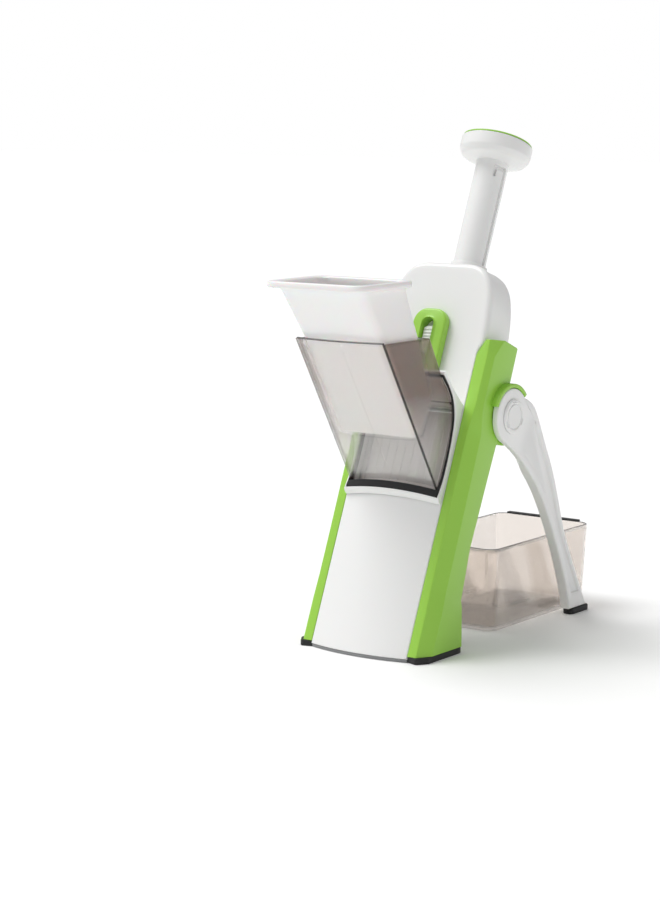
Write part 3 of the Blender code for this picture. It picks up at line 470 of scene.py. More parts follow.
def add_piece(name, parts, material, body, replaced, crease=38, edge=None, marked=None):
    """Joins closed skins into one mesh, points its faces outwards, marks edges sharper than crease degrees,
    and gives the piece its finish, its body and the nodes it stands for. Faces that marked
    counts get edge."""
    points, faces, start = [], [], 0
    for part_points, part_faces in parts:
        points.append(part_points)
        faces += [[index + start for index in face] for face in part_faces]
        start += len(part_points)
    mesh = bpy.data.meshes.new(name)
    mesh.from_pydata(np.concatenate(points), [], faces)
    if marked is not None:
        mesh.polygons.foreach_set("material_index", marked)
    shape = bmesh.new()
    shape.from_mesh(mesh)
    bmesh.ops.remove_doubles(shape, verts=shape.verts, dist=1e-7)
    bmesh.ops.dissolve_degenerate(shape, edges=shape.edges, dist=1e-8)
    bmesh.ops.recalc_face_normals(shape, faces=shape.faces)
    shape.to_mesh(mesh)
    shape.free()
    mesh.polygons.foreach_set("use_smooth", np.ones(len(mesh.polygons), bool))
    mesh.set_sharp_from_angle(angle=math.radians(crease))
    mesh.materials.append(material)
    if edge:
        mesh.materials.append(edge)
    piece = bpy.data.objects.new(name, mesh)
    bpy.context.scene.collection.objects.link(piece)
    if body:
        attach(piece, body)
    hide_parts(*replaced)
    return piece


def keep_nodes(names, material):
    """Gives CAD nodes that stay as they are their finish."""
    for name in names:
        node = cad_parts[name]
        node.data.materials.clear()
        node.data.materials.append(material)


# Head outline: half widths at heights along the panel, at the front and at the rear
HEAD_FRONT = (
    (50.0, 262), (49.6, 270), (48.3, 285), (46.2, 299), (41.8, 311), (34.5, 319.8), (24.0, 323.9),
    (10, 324.3), (0, 324.3),
)
HEAD_BACK = (
    (45.3, 262), (45.0, 270), (43.6, 285), (41.0, 299), (36.4, 312.5), (29.0, 322.3), (18.0, 328.6),
    (7, 330.9), (0, 331.0),
)
# The flare between the straight sides and the head
FLARE_FRONT = ((PANEL_HALF, 250), (46.6, 254), (49.2, 259), (50.0, 262))
FLARE_BACK = ((PANEL_HALF - 0.5, 250), (45.2, 254), (45.3, 259), (45.3, 262))
SIDE_COUNT, HEAD_COUNT, FOOT_COUNT = 60, 70, 18
WINDOW_HALF, WINDOW_LOW, WINDOW_HIGH = 38, 139, 204
FRONT_BACK = 6.0  # depth of the front's rear edge
HEAD_DEEP = 47.0  # depth of the head's rear face


def mirrored(half):
    """A whole closed line from its right half, which runs from the middle of its foot to the middle of its
    top."""
    left = half[1:-1][::-1] * (-1, 1)
    return np.concatenate([half, left])


def panel_bow(height):
    """Depth of the bow: full below 120 mm, fading smoothly to none at 220 mm."""
    return PANEL_BOW * (1 - smooth(height, 120, 220))


def bow_at(x, height):
    """How far the face stands forward: the bow times one minus the square of the share of the half
    width."""
    return panel_bow(height) * np.maximum(1 - (x / PANEL_HALF) ** 2, 0)


def panel_outline():
    """The front's outline: a foot level with the table, (foot - bow sin(lean)) / cos(lean), straight sides,
    a flare to the head, and the head's smooth curve."""
    foot = resample([(0, 0), (PANEL_HALF, 0)], FOOT_COUNT)
    foot[:, 1] = (PANEL_FOOT - bow_at(foot[:, 0], 0) * SIN) / COS
    side = resample([(PANEL_HALF, PANEL_FOOT / COS), (PANEL_HALF, 250)], SIDE_COUNT)
    head = np.concatenate([through(FLARE_FRONT, 16)[:-1], through(HEAD_FRONT, 60)])
    return mirrored(np.concatenate([foot, side, resample(head, HEAD_COUNT), [(0, 324.3)]]))


def window_outline():
    """The slicing window, with as many points as the panel's outline on each side."""
    foot = resample([(0, WINDOW_LOW), (WINDOW_HALF, WINDOW_LOW)], FOOT_COUNT)
    side = resample([(WINDOW_HALF, WINDOW_LOW), (WINDOW_HALF, WINDOW_HIGH)], SIDE_COUNT)
    top = resample([(WINDOW_HALF, WINDOW_HIGH), (0, WINDOW_HIGH)], HEAD_COUNT)
    return mirrored(np.concatenate([foot, side, top, [(0, WINDOW_HIGH)]]))


def at_depth(outline, depth):
    """Rings (x, depth, height) of flat outlines, with the panel's bow taken off the depth."""
    x, height = outline[..., 0], outline[..., 1]
    return np.stack([x, depth - bow_at(x, height), height], -1)


def front_housing_rings():
    """One closed band round the window: the window's wall, the front between window and outline by shares
    of both, the quarter-round edge, the side, and the inner face back to the window."""
    window, outline = window_outline(), panel_outline()
    wall = size("shell_wall")
    radius = 0.8 + (size("head_edge") - 0.8) * smooth(outline[:, 1], 250, 266)
    share = np.linspace(0, 1, 26)[:, None, None]
    angle = np.linspace(0, math.pi / 2, 7)[:, None]
    inward = shifted(outline, -1) - outline
    inner = shifted(outline, -wall)
    rim = outline + inward * radius[:, None]
    front = at_depth(window * (1 - share) + rim * share, 0.0)
    edge_flat = outline + inward * (radius * (1 - np.sin(angle)))[..., None]
    edge = at_depth(edge_flat, radius * (1 - np.cos(angle)))
    near_foot = 1 - smooth(outline[:, 1], 4, 12)
    back_depth = FRONT_BACK - (FRONT_BACK - wall + bow_at(outline[:, 0], 0)) * near_foot
    side = np.stack([np.stack([line[:, 0], back_depth, line[:, 1]], -1) for line in (outline, inner)])
    back = at_depth(window * share[::-1] + inner * (1 - share[::-1]), wall)
    lip = at_depth(window, 0.5)[None]
    return np.concatenate([at_depth(shifted(window, 0.4), 0.0)[None], front[1:], edge, side, back, lip])


def head_half(half_width, flare, head):
    """The right half of a head outline: straight up the side, out along the flare, and round the head to
    its top."""
    side = resample([(half_width, 208), (half_width, 250)], 20)
    return np.concatenate([side, through(flare, 12)[:-1], resample(through(head, 90), 60), head[-1:]])


def head_blend(share):
    """The head's outline between its front and rear ones: front (1 - share) + rear share."""
    front = head_half(PANEL_HALF - 0.3, FLARE_FRONT, HEAD_FRONT)
    rear = head_half(PANEL_HALF - 0.5, FLARE_BACK, HEAD_BACK)
    return mirrored(np.concatenate([[(0, 208)], front * (1 - share) + rear * share]))


def head_rings(depth, inset, lowest):
    """Head outlines at depths, each moved in by its inset and cut off level below the lowest height. The
    blend's share is the depth over 41 mm, up to one."""
    rings = np.stack(
        [np.insert(shifted(head_blend(min(d / 41, 1)), -i), 1, d, axis=1) for d, i in zip(depth, inset)]
    )
    rings[..., 2] = np.maximum(rings[..., 2], lowest)
    return rings


def rear_housing_parts():
    """The head as outlines blended over the depth, hollow and open below, then the cheeks, the bridge and
    the shaft's boss."""
    edge, wall = size("head_edge") + 1.5, size("shell_wall")
    angle = np.linspace(0, math.pi / 2, 9)
    depth = np.concatenate([[6.3, 14, 22, 30, 38], HEAD_DEEP - edge + edge * np.sin(angle)])
    inset = np.concatenate([[0.2] * 5, 0.2 + edge * (1 - np.cos(angle))])
    outer = head_rings(depth, inset, 208.5)
    inner = head_rings(np.minimum(depth, HEAD_DEEP - wall)[::-1], (inset + wall)[::-1], 211)
    parts = [skin(lean(np.concatenate([outer, inner])), closed=True)]
    for side in (-1, 1):
        low, high = sorted((side * 42.6, side * 45.3))
        parts.append(skin(lean(box_rings((low, 6.5, 17), (high, 35, 216)))))
        parts.append(skin(lean(box_rings((side * 32 - 5, 33, 18), (side * 32 + 5, 36.5, 29)))))
    parts.append(skin(lean(box_rings((-44.5, 30, 17.4), (44.5, 34.7, 31)))))
    boss = lathe([(15.5, 303), (17, 303), (17, 325), (15.5, 325)], 64)
    bore = SHAFT_RADIUS + 0.5
    collar_line = fillet([(bore, 321), (15.4, 321), (15.2, 331.5), (bore, 331.5)], [0.2, 0.4, 0.5, 0.3], 5)
    return parts + [
        skin(lean(rings + (0, SHAFT_DEPTH, 0)), closed=True)
        for rings in (boss, lathe(collar_line, 96))
    ]


class SLICER_OT_front_housing(bpy.types.Operator):
    """White front: bowed panel, slicing window and the head's face"""

    bl_idname = "slicer.front_housing"
    bl_label = "Front housing"

    def execute(self, context):
        add_piece(
            "Front_housing", [skin(lean(front_housing_rings()), closed=True)], white_abs(), "stand",
            ["front_housing"],
        )
        return {"FINISHED"}


class SLICER_OT_rear_housing(bpy.types.Operator):
    """White rear: the head's shell, the cheeks, the bridge and the shaft's boss"""

    bl_idname = "slicer.rear_housing"
    bl_label = "Rear housing"

    def execute(self, context):
        add_piece(
            "Rear_housing", rear_housing_parts(), white_abs(), "stand", ["rear_housing"],
        )
        return {"FINISHED"}


# inner face from the middle, and the upright rear face behind the panel's foot
RAIL_INNER, RAIL_REACH = 46.0, 56.5


def rail_row(inner, front, slope, outer, back, heights):
    """Corners (x, depth, height): inner front, start of the chamfer, its end, outer rear and inner rear."""
    corners = [(inner, 0), (front, 0), (outer, slope), (outer, back), (min(inner, 48.4), back)]
    return [(x, depth, height) for (x, depth), height in zip(corners, heights)]


def level_row(z, front, slope, outer):
    """A rail row level with the table: its rear is at reach cos(lean) - z sin(lean), and each corner's
    height along the panel is (z + depth sin(lean)) / cos(lean)."""
    back = RAIL_REACH * COS - z * SIN
    heights = [(z + depth * SIN) / COS for depth in (0, 0, slope, back, back)]
    return rail_row(RAIL_INNER, front, slope, outer, back, heights)


def rail_rows(side):
    """Corner rows (x, depth, height) up a rail. The foot rows are level; the rest square to the rail."""
    rows = [
        level_row(5.1, 54.0, 11.0, 61.2),
        level_row(36.0, 54.0, 11.5, 61.2),
        rail_row(RAIL_INNER, 53.5, 12.0, 60.0, 36.8, [60] * 5),
        rail_row(RAIL_INNER, 53.5, 12.0, 60.0, 33.0, [101] * 5),
        rail_row(RAIL_INNER, 53.8, 11.6, 60.0, 35.0, [149] * 5),
        rail_row(RAIL_INNER, 54.0, 11.0, 60.0, 36.8, [188] * 5),
        rail_row(RAIL_INNER, 55.4, 6.0, 60.0, 36.6, [204] * 5),
        rail_row(RAIL_INNER, 56.0, 5.0, 60.0, 36.5, [212] * 5),
        rail_row(RAIL_INNER, 56.0, 5.0, 60.0, 36.5, [250] * 5),
        rail_row(51.4, 55.6, 13.5, 60.0, 36.3, (261.4, 261.4, 265.4, 265.4, 265.4)),
        rail_row(51.6, 55.5, 15.0, 60.0, 36.3, (262, 262, 266, 266, 266)),
    ]
    rows = np.array(rows, float)
    fine = spread(rows.reshape(len(rows), -1), [6] * (len(rows) - 1)).reshape(-1, 5, 3)
    top = fine[-1:]
    middle = top.mean(1, keepdims=True)
    closing = np.concatenate(
        [middle + (top - middle) * (1 - s) + (0, 0, r) for s, r in ((0.02, 0.35), (0.06, 0.7), (0.12, 0.9))]
    )
    fine = np.concatenate([fine, closing])
    rings = fillet(fine, [0.5, size("edge"), size("edge") * 1.6, size("edge") * 1.6, 1.0], 5)
    return rings * (side, 1, 1)


def hood_outline():
    """A band over the leg's head: an outer arc, then an inner arc back."""
    start, end = LEAN + math.radians(155), LEAN + math.radians(36)
    angle = np.linspace(start, end, 60)
    arc = np.stack([np.cos(angle), np.sin(angle)], -1)
    return np.concatenate([arc * 26.0, arc[::-1] * 22.8]) + PIVOT_LEAN


def sideways(rings, side=1):
    """Rings (a, b, level) laid so that the level runs along x."""
    return np.stack([rings[..., 2] * side, rings[..., 0], rings[..., 1]], -1)


class SLICER_OT_rails(bpy.types.Operator):
    """Lime green side rails with the pivot bosses and the hoods over the legs' heads"""

    bl_idname = "slicer.rails"
    bl_label = "Rails"

    def execute(self, context):
        for side, word in ((-1, "left"), (1, "right")):
            boss = sideways(plate_rings(ring_line(24.0, PIVOT_LEAN), 46.2, 58.8, 1.0), side)
            hood = sideways(plate_rings(hood_outline(), 58.4, 66.0, 0.8), side)
            parts = [skin(lean(rail_rows(side))), skin(lean(boss)), skin(lean(hood))]
            add_piece(f"Rail_{word}", parts, green_abs(), "stand", [f"rail_{word}"])
            foot = np.array(
                [(46.0, 3.0), (55.3, 0.0), (61.3, 9.2), (61.3, 50), (60.4, 56.5), (46.0, 56.5)]
            ) * (side, 1)
            pad = plate_rings(fillet(foot, [1, 2.5, 2, 3, 3, 1], 5), 0, 4.8, 0.6)
            add_piece(
                f"Rail_foot_{word}", [skin(stand(pad))], rubber(), "stand", [f"rail_foot_{word}"],
            )
        # The base strip is grey to match the dark band under the panel's foot
        keep_nodes(["base_strip"], grey_abs())
        return {"FINISHED"}


def ring_line(radius, centre, count=96):
    """A circle: centre plus radius times (cos, sin)."""
    angle = np.linspace(0, 2 * math.pi, count, endpoint=False)
    return np.stack([np.cos(angle), np.sin(angle)], -1) * radius + centre


LEG_REAR = (
    (247.3, 5.3), (237.6, 22), (227.9, 38.0), (207.0, 75.0), (186.7, 123.8), (170.0, 154.6), (156.3, 179.0),
    (149.5, 187.0), (142.5, 191.2), (137.5, 193.0),
)
LEG_FRONT = (
    (110.0, 160.0), (124.0, 151.3), (140.6, 137.9), (163.2, 114.6), (182.7, 86.2), (197.9, 58.9),
    (211.3, 31.1), (220.5, 5.3),
)
POCKET_REAR = ((234.5, 19.0), (222.0, 40), (201.6, 75.0), (181.5, 122), (164.8, 152.5), (153.2, 172.0))
POCKET_FRONT = (
    (138.0, 147.0), (146.5, 140.5), (168.0, 117.8), (187.7, 88.4), (202.7, 61.0), (215.4, 34.0),
    (222.5, 19.0),
)

LEG_OUTER, LEG_EDGE, LEG_HEAD_RADIUS, LEG_LEAN_IN = 66.0, 1.3, 22.3, 0.0302


def leg_line(rear, head, front):
    """A closed leg line up the rear, round the head, down the front and across the foot, with matched
    counts."""
    foot = resample([front[-1], rear[0]], 14)
    return np.concatenate(
        [resample(through(rear, 120), 90), resample(head, 60), resample(through(front, 120), 90), foot]
    )


def leg_inner(line):
    """x of the leg's inner face: 60.5 mm at the head, 3.5 mm less once 62 mm from the pivot, by a smooth
    step."""
    return 60.5 - 3.5 * smooth(np.linalg.norm(line - PIVOT, axis=1), 33.5, 62)


def leg_parts(side):
    """A leg as matched closed lines from the inner pocket's floor out over both edges to the outer pocket's
    floor. Below the pivot's height x is drawn in by 0.0302 of the drop, so that the leg leans in to its
    foot."""
    head = np.linspace(math.radians(34.8), math.radians(245.6), 60)
    circle = np.stack([np.cos(head), np.sin(head)], -1) * LEG_HEAD_RADIUS + PIVOT
    outline = leg_line(LEG_REAR, circle, LEG_FRONT)
    pocket = leg_line(POCKET_REAR, [POCKET_REAR[-1], POCKET_FRONT[0]], POCKET_FRONT)
    turn = np.linspace(0, math.pi / 2, 5)

    def ring(line, level):
        """A flat (y, z) line at x = level."""
        return np.stack([level + 0 * line[:, 0], line[:, 0], line[:, 1]], -1)

    inner, pocket_inner = leg_inner(outline), leg_inner(pocket)
    edge, outer = LEG_EDGE, LEG_OUTER
    rows = [
        ring(shifted(pocket, -1.0), pocket_inner + 2.4), ring(shifted(pocket, -0.4), pocket_inner + 2.2),
        ring(pocket, pocket_inner + 0.4), ring(shifted(pocket, 0.5), pocket_inner),
    ]
    rows += [
        ring(shifted(outline, -edge * (1 - math.sin(t))), inner + edge * (1 - math.cos(t)))
        for t in turn
    ]
    rows += [
        ring(shifted(outline, -edge * (1 - math.cos(t))), outer - edge * (1 - math.sin(t)))
        for t in turn
    ]
    rows += [
        ring(shifted(pocket, out), x)
        for out, x in ((0.5, outer), (0.1, 65.7), (-0.4, 64.4), (-0.9, 64.1))
    ]
    rings = np.stack(rows)
    rings[..., 0] -= LEG_LEAN_IN * np.maximum(PIVOT[1] - rings[..., 2], 0)
    return [skin(stand(rings * (side, 1, 1)))]


CAP_TOP, CAP_BASE, CAP_SLOTS = 67.9, 66.15, (90, 205, 335)


def pivot_cap_rings():
    """A disc whose height falls by a groove near its rim and by three short arc slots, each a smooth step
    of the distance."""
    radius = np.concatenate(
        [[0], np.linspace(0.6, 12.9, 40), 13.9 - 0.9 * np.cos(np.linspace(0, math.pi / 2, 5))]
    )[:, None]
    angle = np.linspace(0, 2 * math.pi, 120, endpoint=False)[None]
    a, b = radius * np.cos(angle), radius * np.sin(angle)
    groove = 1 - smooth(np.abs(radius - 10.0), 0.35, 0.8)
    level = CAP_TOP - 0.9 * smooth(radius, 12.6, 14.0) - 0.9 * groove + 0 * angle
    for degrees in CAP_SLOTS:
        turn = (np.degrees(angle) - degrees + 180) % 360 - 180
        slot = (1 - smooth(np.abs(turn), 10, 13)) * (1 - smooth(np.abs(radius - 11.9), 0.6, 1.0))
        level = level - 1.3 * slot
    top = np.stack([a + PIVOT[0], b + PIVOT[1], level], -1)
    base = top[-1:] * (1, 1, 0) + (0, 0, CAP_BASE)
    return np.concatenate([top, base, base * (0, 0, 1) + (*PIVOT, 0)])


class SLICER_OT_legs(bpy.types.Operator):
    """White folding legs with their pockets, pivot caps, shoes and pins"""

    bl_idname = "slicer.legs"
    bl_label = "Legs"

    def execute(self, context):
        for side, word in ((-1, "left"), (1, "right")):
            body = f"{word}_leg"
            add_piece(f"Leg_{word}", leg_parts(side), white_abs(), body, [f"leg_{word}"])
            cap = sideways(pivot_cap_rings(), side)
            add_piece(
                f"Leg_pivot_cap_{word}", [skin(stand(cap))], white_abs(), body, [f"leg_pivot_cap_{word}"],
            )
            shoe = fillet(
                [(51.3, 223.5), (61.3, 223.5), (61.3, 252), (51.3, 252)], [3.5] * 4, 6,
            ) * (side, 1)
            rings = plate_rings(shoe, 0, 5.0, 0.8)
            add_piece(
                f"Leg_foot_{word}", [skin(stand(rings))], rubber(), body, [f"leg_foot_{word}"],
            )
        keep_nodes(["leg_pivot_pin_left", "leg_pivot_pin_right"], stainless_steel())
        return {"FINISHED"}


CHUTE_HALF = 41.7
CHUTE_FRONT_TOP = to_lean(-24.0, 247.8)
CHUTE_FRONT_FOOT = to_lean(51.1, 123.4) * (1 - 0.024) + CHUTE_FRONT_TOP * 0.024
CHUTE_REAR_TOP = to_lean(37.1, 247.8)
CHUTE_REAR = np.array([CHUTE_REAR_TOP, (-31, 219.0), (-19.5, 213.0), (-11.5, 206.5)])
CHUTE_SIDE_FOOT = np.array(
    [CHUTE_FRONT_FOOT, (-2.2, 148), (-1.9, 167), (-2.8, 186), (-6.0, 198), (-11.5, 206.5)]
)


def chute_surface():
    """The chute's outer walls as closed lines from the mouth to the slicing opening. Each side wall is a
    Coons patch: (1 - v) top + v foot + (1 - u) front + u rear, less the blend of its corners. The front
    wall spans the two front edges and stands forward by the panel's bow at its foot and by 1.8 mm at its
    top, times one minus the square of the share across. The rear wall spans the two rear edges."""
    u, v = np.linspace(0, 1, 26)[None, :, None], np.linspace(0, 1, 40)[:, None, None]
    top = CHUTE_FRONT_TOP * (1 - u) + CHUTE_REAR_TOP * u
    foot = resample(through(CHUTE_SIDE_FOOT, 80), 25)
    foot = np.concatenate([foot, CHUTE_SIDE_FOOT[-1:]])[None]
    front = CHUTE_FRONT_TOP * (1 - v) + CHUTE_FRONT_FOOT * v
    rear = np.concatenate([resample(CHUTE_REAR, 39), CHUTE_REAR[-1:]])[:, None]
    foot_corners = (1 - u) * CHUTE_SIDE_FOOT[0] + u * CHUTE_SIDE_FOOT[-1]
    corners = (1 - v) * ((1 - u) * CHUTE_FRONT_TOP + u * CHUTE_REAR_TOP) + v * foot_corners
    side = (1 - v) * top + v * foot + (1 - u) * front + u * rear - corners
    right = np.stack([np.full(side.shape[:2], CHUTE_HALF), side[..., 0], side[..., 1]], -1)
    left = right[:, ::-1] * (-1, 1, 1)
    across = np.concatenate(
        [np.linspace(-CHUTE_HALF, -1.2, 16), [-0.7, -0.35, 0, 0.35, 0.7], np.linspace(1.2, CHUTE_HALF, 16)]
    )[None]
    share = 1 - (across / CHUTE_HALF) ** 2
    ridge = 0.3 * np.maximum(1 - np.abs(across) / 0.7, 0)
    v = v[..., 0]
    forward = share * (
        1.8 * (1 - v) + (bow_at(0, 135) - bow_at(CHUTE_HALF, 135)) * v
    ) + ridge * (1 - smooth(v, 0.8, 1))
    front_wall = np.stack([
        across + 0 * v, front[..., 0] - forward * (0.8 + 0.2 * v),
        front[..., 1] - 1.1 * share * (1 - v) + 2.1 * share * v,
    ], -1)
    rear_wall = np.stack([-across + 0 * v, rear[..., 0] + 0 * across, rear[..., 1] + 0 * across], -1)
    return np.concatenate([front_wall[:, :-1], right[:, :-1], rear_wall[:, :-1], left[:, :-1]], 1)


def open_skin(rings):
    """Quads between rings with both ends left open, for a wall that Solidify gives its thickness."""
    points, faces = skin(rings)
    return points, faces[:-2]


def front_corner_points(mesh):
    """The points on the chute's two front corners: within 0.4 mm of the line from its front foot to its
    front top, by the cross product with the line's direction, and at its full half width."""
    spots = np.empty(len(mesh.vertices) * 3)
    mesh.vertices.foreach_get("co", spots)
    spots = spots.reshape(-1, 3) / MM
    off = to_lean(spots[:, 1] + DATUM, spots[:, 2]) - CHUTE_FRONT_FOOT
    run = unit(CHUTE_FRONT_TOP - CHUTE_FRONT_FOOT)
    near = np.abs(off[:, 0] * run[1] - off[:, 1] * run[0]) < 0.4
    return np.flatnonzero(near & (np.abs(spots[:, 0]) > CHUTE_HALF - 0.05)).tolist()


class SLICER_OT_chute(bpy.types.Operator):
    """Smoky clear food chute"""

    bl_idname = "slicer.chute"
    bl_label = "Chute"

    def execute(self, context):
        walls = [open_skin(lean(chute_surface()))]
        finish, rim_finish = smoky_polycarbonate_with_painted_shade(), clear_plastic_edge()
        piece = add_piece(
            "Food_chute", walls, finish, None, ["chute"], edge=rim_finish,
        )
        centre = Vector(lean((0, -45, 190)))
        mesh = piece.data
        facing = sum((face.center - centre).dot(face.normal) * face.area for face in mesh.polygons)
        if facing < 0:
            mesh.flip_normals()
        group = piece.vertex_groups.new(name="Front corners")
        group.add(front_corner_points(mesh), 1.0, "REPLACE")
        dark = piece.modifiers.new("Front corners", "BEVEL")
        dark.width, dark.segments, dark.material = 0.8 * MM, 3, 1
        dark.limit_method, dark.vertex_group = "VGROUP", group.name
        corners = piece.modifiers.new("Round corners", "BEVEL")
        corners.width, corners.segments = 1.0 * MM, 3
        corners.limit_method, corners.angle_limit = "ANGLE", math.radians(50)
        wall = piece.modifiers.new("Wall", "SOLIDIFY")
        wall.thickness, wall.offset, wall.use_even_offset = size("chute_wall") * MM, -1, True
        wall.material_offset_rim = 1
        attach(piece, "feed_chute")
        return {"FINISHED"}


SEAL_SIDE = np.array(
    [
        (-6.6, 131.4), (-3.9, 146), (-3.6, 167), (-5.4, 186), (-8.4, 197.5), (-14.4, 207.4), (-22.6, 214.2),
        (-34.2, 220.8),
    ]
)
PANEL_SIDE = np.array(
    [
        (-0.8, 127.0), (-0.8, 146), (-0.8, 167), (-0.8, 180), (-0.8, 188), (-0.8, 196), (-0.8, 202),
        (-0.8, 208),
    ]
)


def rim_loop(half, side, foot, tip, rise=2.1):
    """A closed line round the chute's lower edge: across its foot with the panel's bow, up the right side,
    across the tip and down the left side. The side line is eased to its own foot and tip by the fourth
    power of the distance."""
    side, foot, tip = np.asarray(side, float), np.asarray(foot, float), np.asarray(tip, float)
    t = np.linspace(0, 1, 61)[:, None]
    line = through(side, 61)
    line = line + (foot - line[0]) * (1 - t) ** 4 + (tip - line[-1]) * t**4
    across = np.linspace(-half, half, 41)
    share = 1 - (across / half) ** 2
    foot_line = np.stack(
        [across, foot[0] - bow_at(across, 130) + bow_at(half, 130), foot[1] + rise * share], -1,
    )
    right = np.insert(line, 0, half, axis=1)
    tip_line = np.stack([-across, tip[0] + 0 * across, tip[1] + 0 * across], -1)
    left = right[::-1] * (-1, 1, 1)
    return np.concatenate([foot_line[:-1], right[:-1], tip_line[:-1], left[:-1]])


def seal_rings():
    """The gasket's section carried round the chute's lower edge: its top, outer, lower and inner
    corners."""
    up = SEAL_SIDE
    return np.stack([
        rim_loop(42.0, up + (0.2, 0.3), (-6.2, 136.6), (-33.0, 220.2)),
        rim_loop(42.3, up, (-6.9, 136.2), (-34.2, 220.9)),
        rim_loop(43.1, up, (-6.6, 133.0), (-34.6, 221.5)),
        rim_loop(43.4, up + (0.3, 0.2), (-6.1, 131.2), (-34.2, 222.0)),
        rim_loop(43.4, up + (1.6, 1.2), (-1.3, 131.1), (-32.6, 221.6)),
        rim_loop(42.0, up + (1.6, 1.2), (-1.3, 134.6), (-31.8, 220.4)),
    ])


def collar_rings():
    """The collar's section carried round outside the gasket. Its outer wall runs from rim to panel as a
    quadratic curve, (1 - t)^2 rim + 2t(1 - t) bend + t^2 foot, so that it sweeps softly into the face."""
    up = SEAL_SIDE
    rim_out = rim_loop(45.2, up + (0.9, 0.1), (-5.6, 130.2), (-35.4, 225.0))
    bend = rim_loop(45.3, (up + PANEL_SIDE) / 2 + (1.2, -0.6), (-5.0, 127.8), (-16.0, 212.8))
    foot = rim_loop(45.4, PANEL_SIDE, (-0.7, 126.2), (-0.8, 207.4))
    t = np.linspace(0, 1, 14)[:, None, None]
    outer = (1 - t) ** 2 * rim_out + 2 * t * (1 - t) * bend + t**2 * foot
    return np.concatenate([
        np.stack([
            rim_loop(43.7, PANEL_SIDE, (-0.8, 130.6), (-0.8, 205.8)),
            rim_loop(43.7, up + (0.8, 0.3), (-5.6, 130.7), (-34.6, 222.6)),
            rim_loop(44.0, up + (0.4, -0.1), (-5.9, 130.6), (-35.4, 223.2)),
            rim_loop(44.8, up + (0.4, -0.2), (-6.0, 130.5), (-35.8, 224.2)),
        ]),
        outer,
    ])


class SLICER_OT_collar(bpy.types.Operator):
    """White collar round the slicing window and the black gasket that seals the chute"""

    bl_idname = "slicer.collar"
    bl_label = "Collar and gasket"

    def execute(self, context):
        add_piece(
            "Chute_collar", [skin(lean(collar_rings()), closed=True)], white_abs(), "stand",
            ["chute_collar"],
        )
        add_piece(
            "Chute_gasket", [skin(lean(seal_rings()), closed=True)], rubber(), "stand", ["chute_gasket"],
        )
        return {"FINISHED"}


def oblong(half_a, half_b, radius, steps=8):
    """Round-cornered oblongs (rows, points, 2): each corner is the inner corner plus radius times (cos,
    sin)."""
    half_a, half_b, radius = (
        np.atleast_1d(np.asarray(value, float))[:, None]
        for value in (half_a, half_b, radius)
    )
    angle = np.linspace(0, math.pi / 2, steps)
    angle = (np.arange(4)[:, None] * math.pi / 2 + angle).reshape(-1)[None]
    sign_a = np.repeat([1, -1, -1, 1], steps)[None]
    sign_b = np.repeat([1, 1, -1, -1], steps)[None]
    return np.stack(
        [
            sign_a * (half_a - radius) + radius * np.cos(angle),
            sign_b * (half_b - radius) + radius * np.sin(angle),
        ],
        -1,
    )


def cup_rings(rows, steps=10):
    """Rings (x, y, z) of oblongs that lie in sloping planes. Each row is (front y, front z, rear y, rear z,
    half width, corner radius, inset): the oblong's middle is midway, and its length runs from front to rear
    less the inset."""
    rows = np.asarray(rows, float)
    front, rear, half, radius, inset = rows[:, :2], rows[:, 2:4], rows[:, 4], rows[:, 5], rows[:, 6]
    middle, along = (front + rear) / 2, unit(rear - front)
    flat = oblong(
        half - inset, np.linalg.norm(rear - front, axis=1) / 2 - inset,
        np.maximum(radius - 0.6 * inset, 0.4), steps,
    )
    spot = middle[:, None] + along[:, None] * flat[..., 1:]
    return np.concatenate([flat[..., :1], spot], -1)


def spread(rows, counts):
    """More rows between key rows, evenly spaced: counts says how many steps each gap gets."""
    rows = np.asarray(rows, float)
    where = np.concatenate([i + np.arange(n) / n for i, n in enumerate(counts)] + [[len(counts)]])
    return np.stack([np.interp(where, np.arange(len(rows)), column) for column in rows.T], -1)


def pusher_rows():
    """Key rows of the cup: up the outside, over the flange's lip and down the inside."""
    wall = size("cup_wall")
    outside = [
        [26.4, 169.6, 46.2, 201.2, 38.3, 6.5, 3.0], [26.6, 169.9, 46.5, 201.5, 38.3, 6.5, 1.6],
        [26.9, 170.5, 46.9, 202.1, 38.3, 6.5, 0.7], [26.2, 172.2, 46.9, 203.4, 38.3, 6.8, 0.15],
        [24.8, 174.6, 46.3, 205.4, 38.3, 7, 0], [-20.6, 248.0, 31.0, 249.0, 38.3, 8, 0],
        [-41.5, 276.0, 19.4, 272.0, 39.2, 9, 0], [-49.2, 287.5, 12.6, 285.0, 40.3, 9, 0],
    ]
    lip = [
        [-51.5, 288.2, 11.6, 286.9, 40.9, 9, 0], [-55.0, 288.8, 12.2, 288.2, 43.2, 10, 0],
        [-58.9, 289.1, 13.1, 288.9, 45.6, 10, 0], [-59.5, 290.0, 13.5, 289.8, 46.0, 10, 0],
        [-59.4, 293.2, 13.4, 293.1, 45.9, 10, 0], [-58.4, 294.0, 12.4, 294.0, 44.9, 10, 0],
        [-54.6, 293.8, 8.6, 293.8, 41.4, 9, 0], [-52.6, 292.6, 7.6, 292.4, 39.8, 9, 0],
    ]
    inside = [
        [-48.0, 286.0, 10.4, 284.0, 40.3 - wall, 8, 0], [-39.2, 276.0, 17.2, 272.4, 39.2 - wall, 7.5, 0],
        [-18.2, 248.0, 28.7, 249.0, 38.3 - wall, 6.5, 0], [24.4, 178.6, 43.4, 207.4, 38.3 - wall, 5.5, 0],
        [26.4, 175.6, 44.0, 205.2, 38.3 - wall, 5.5, 0.6],
    ]
    return spread(outside + lip + inside, [1, 1, 1, 1, 14, 6, 3, *[1] * len(lip), 2, 6, 14, 1, 1])


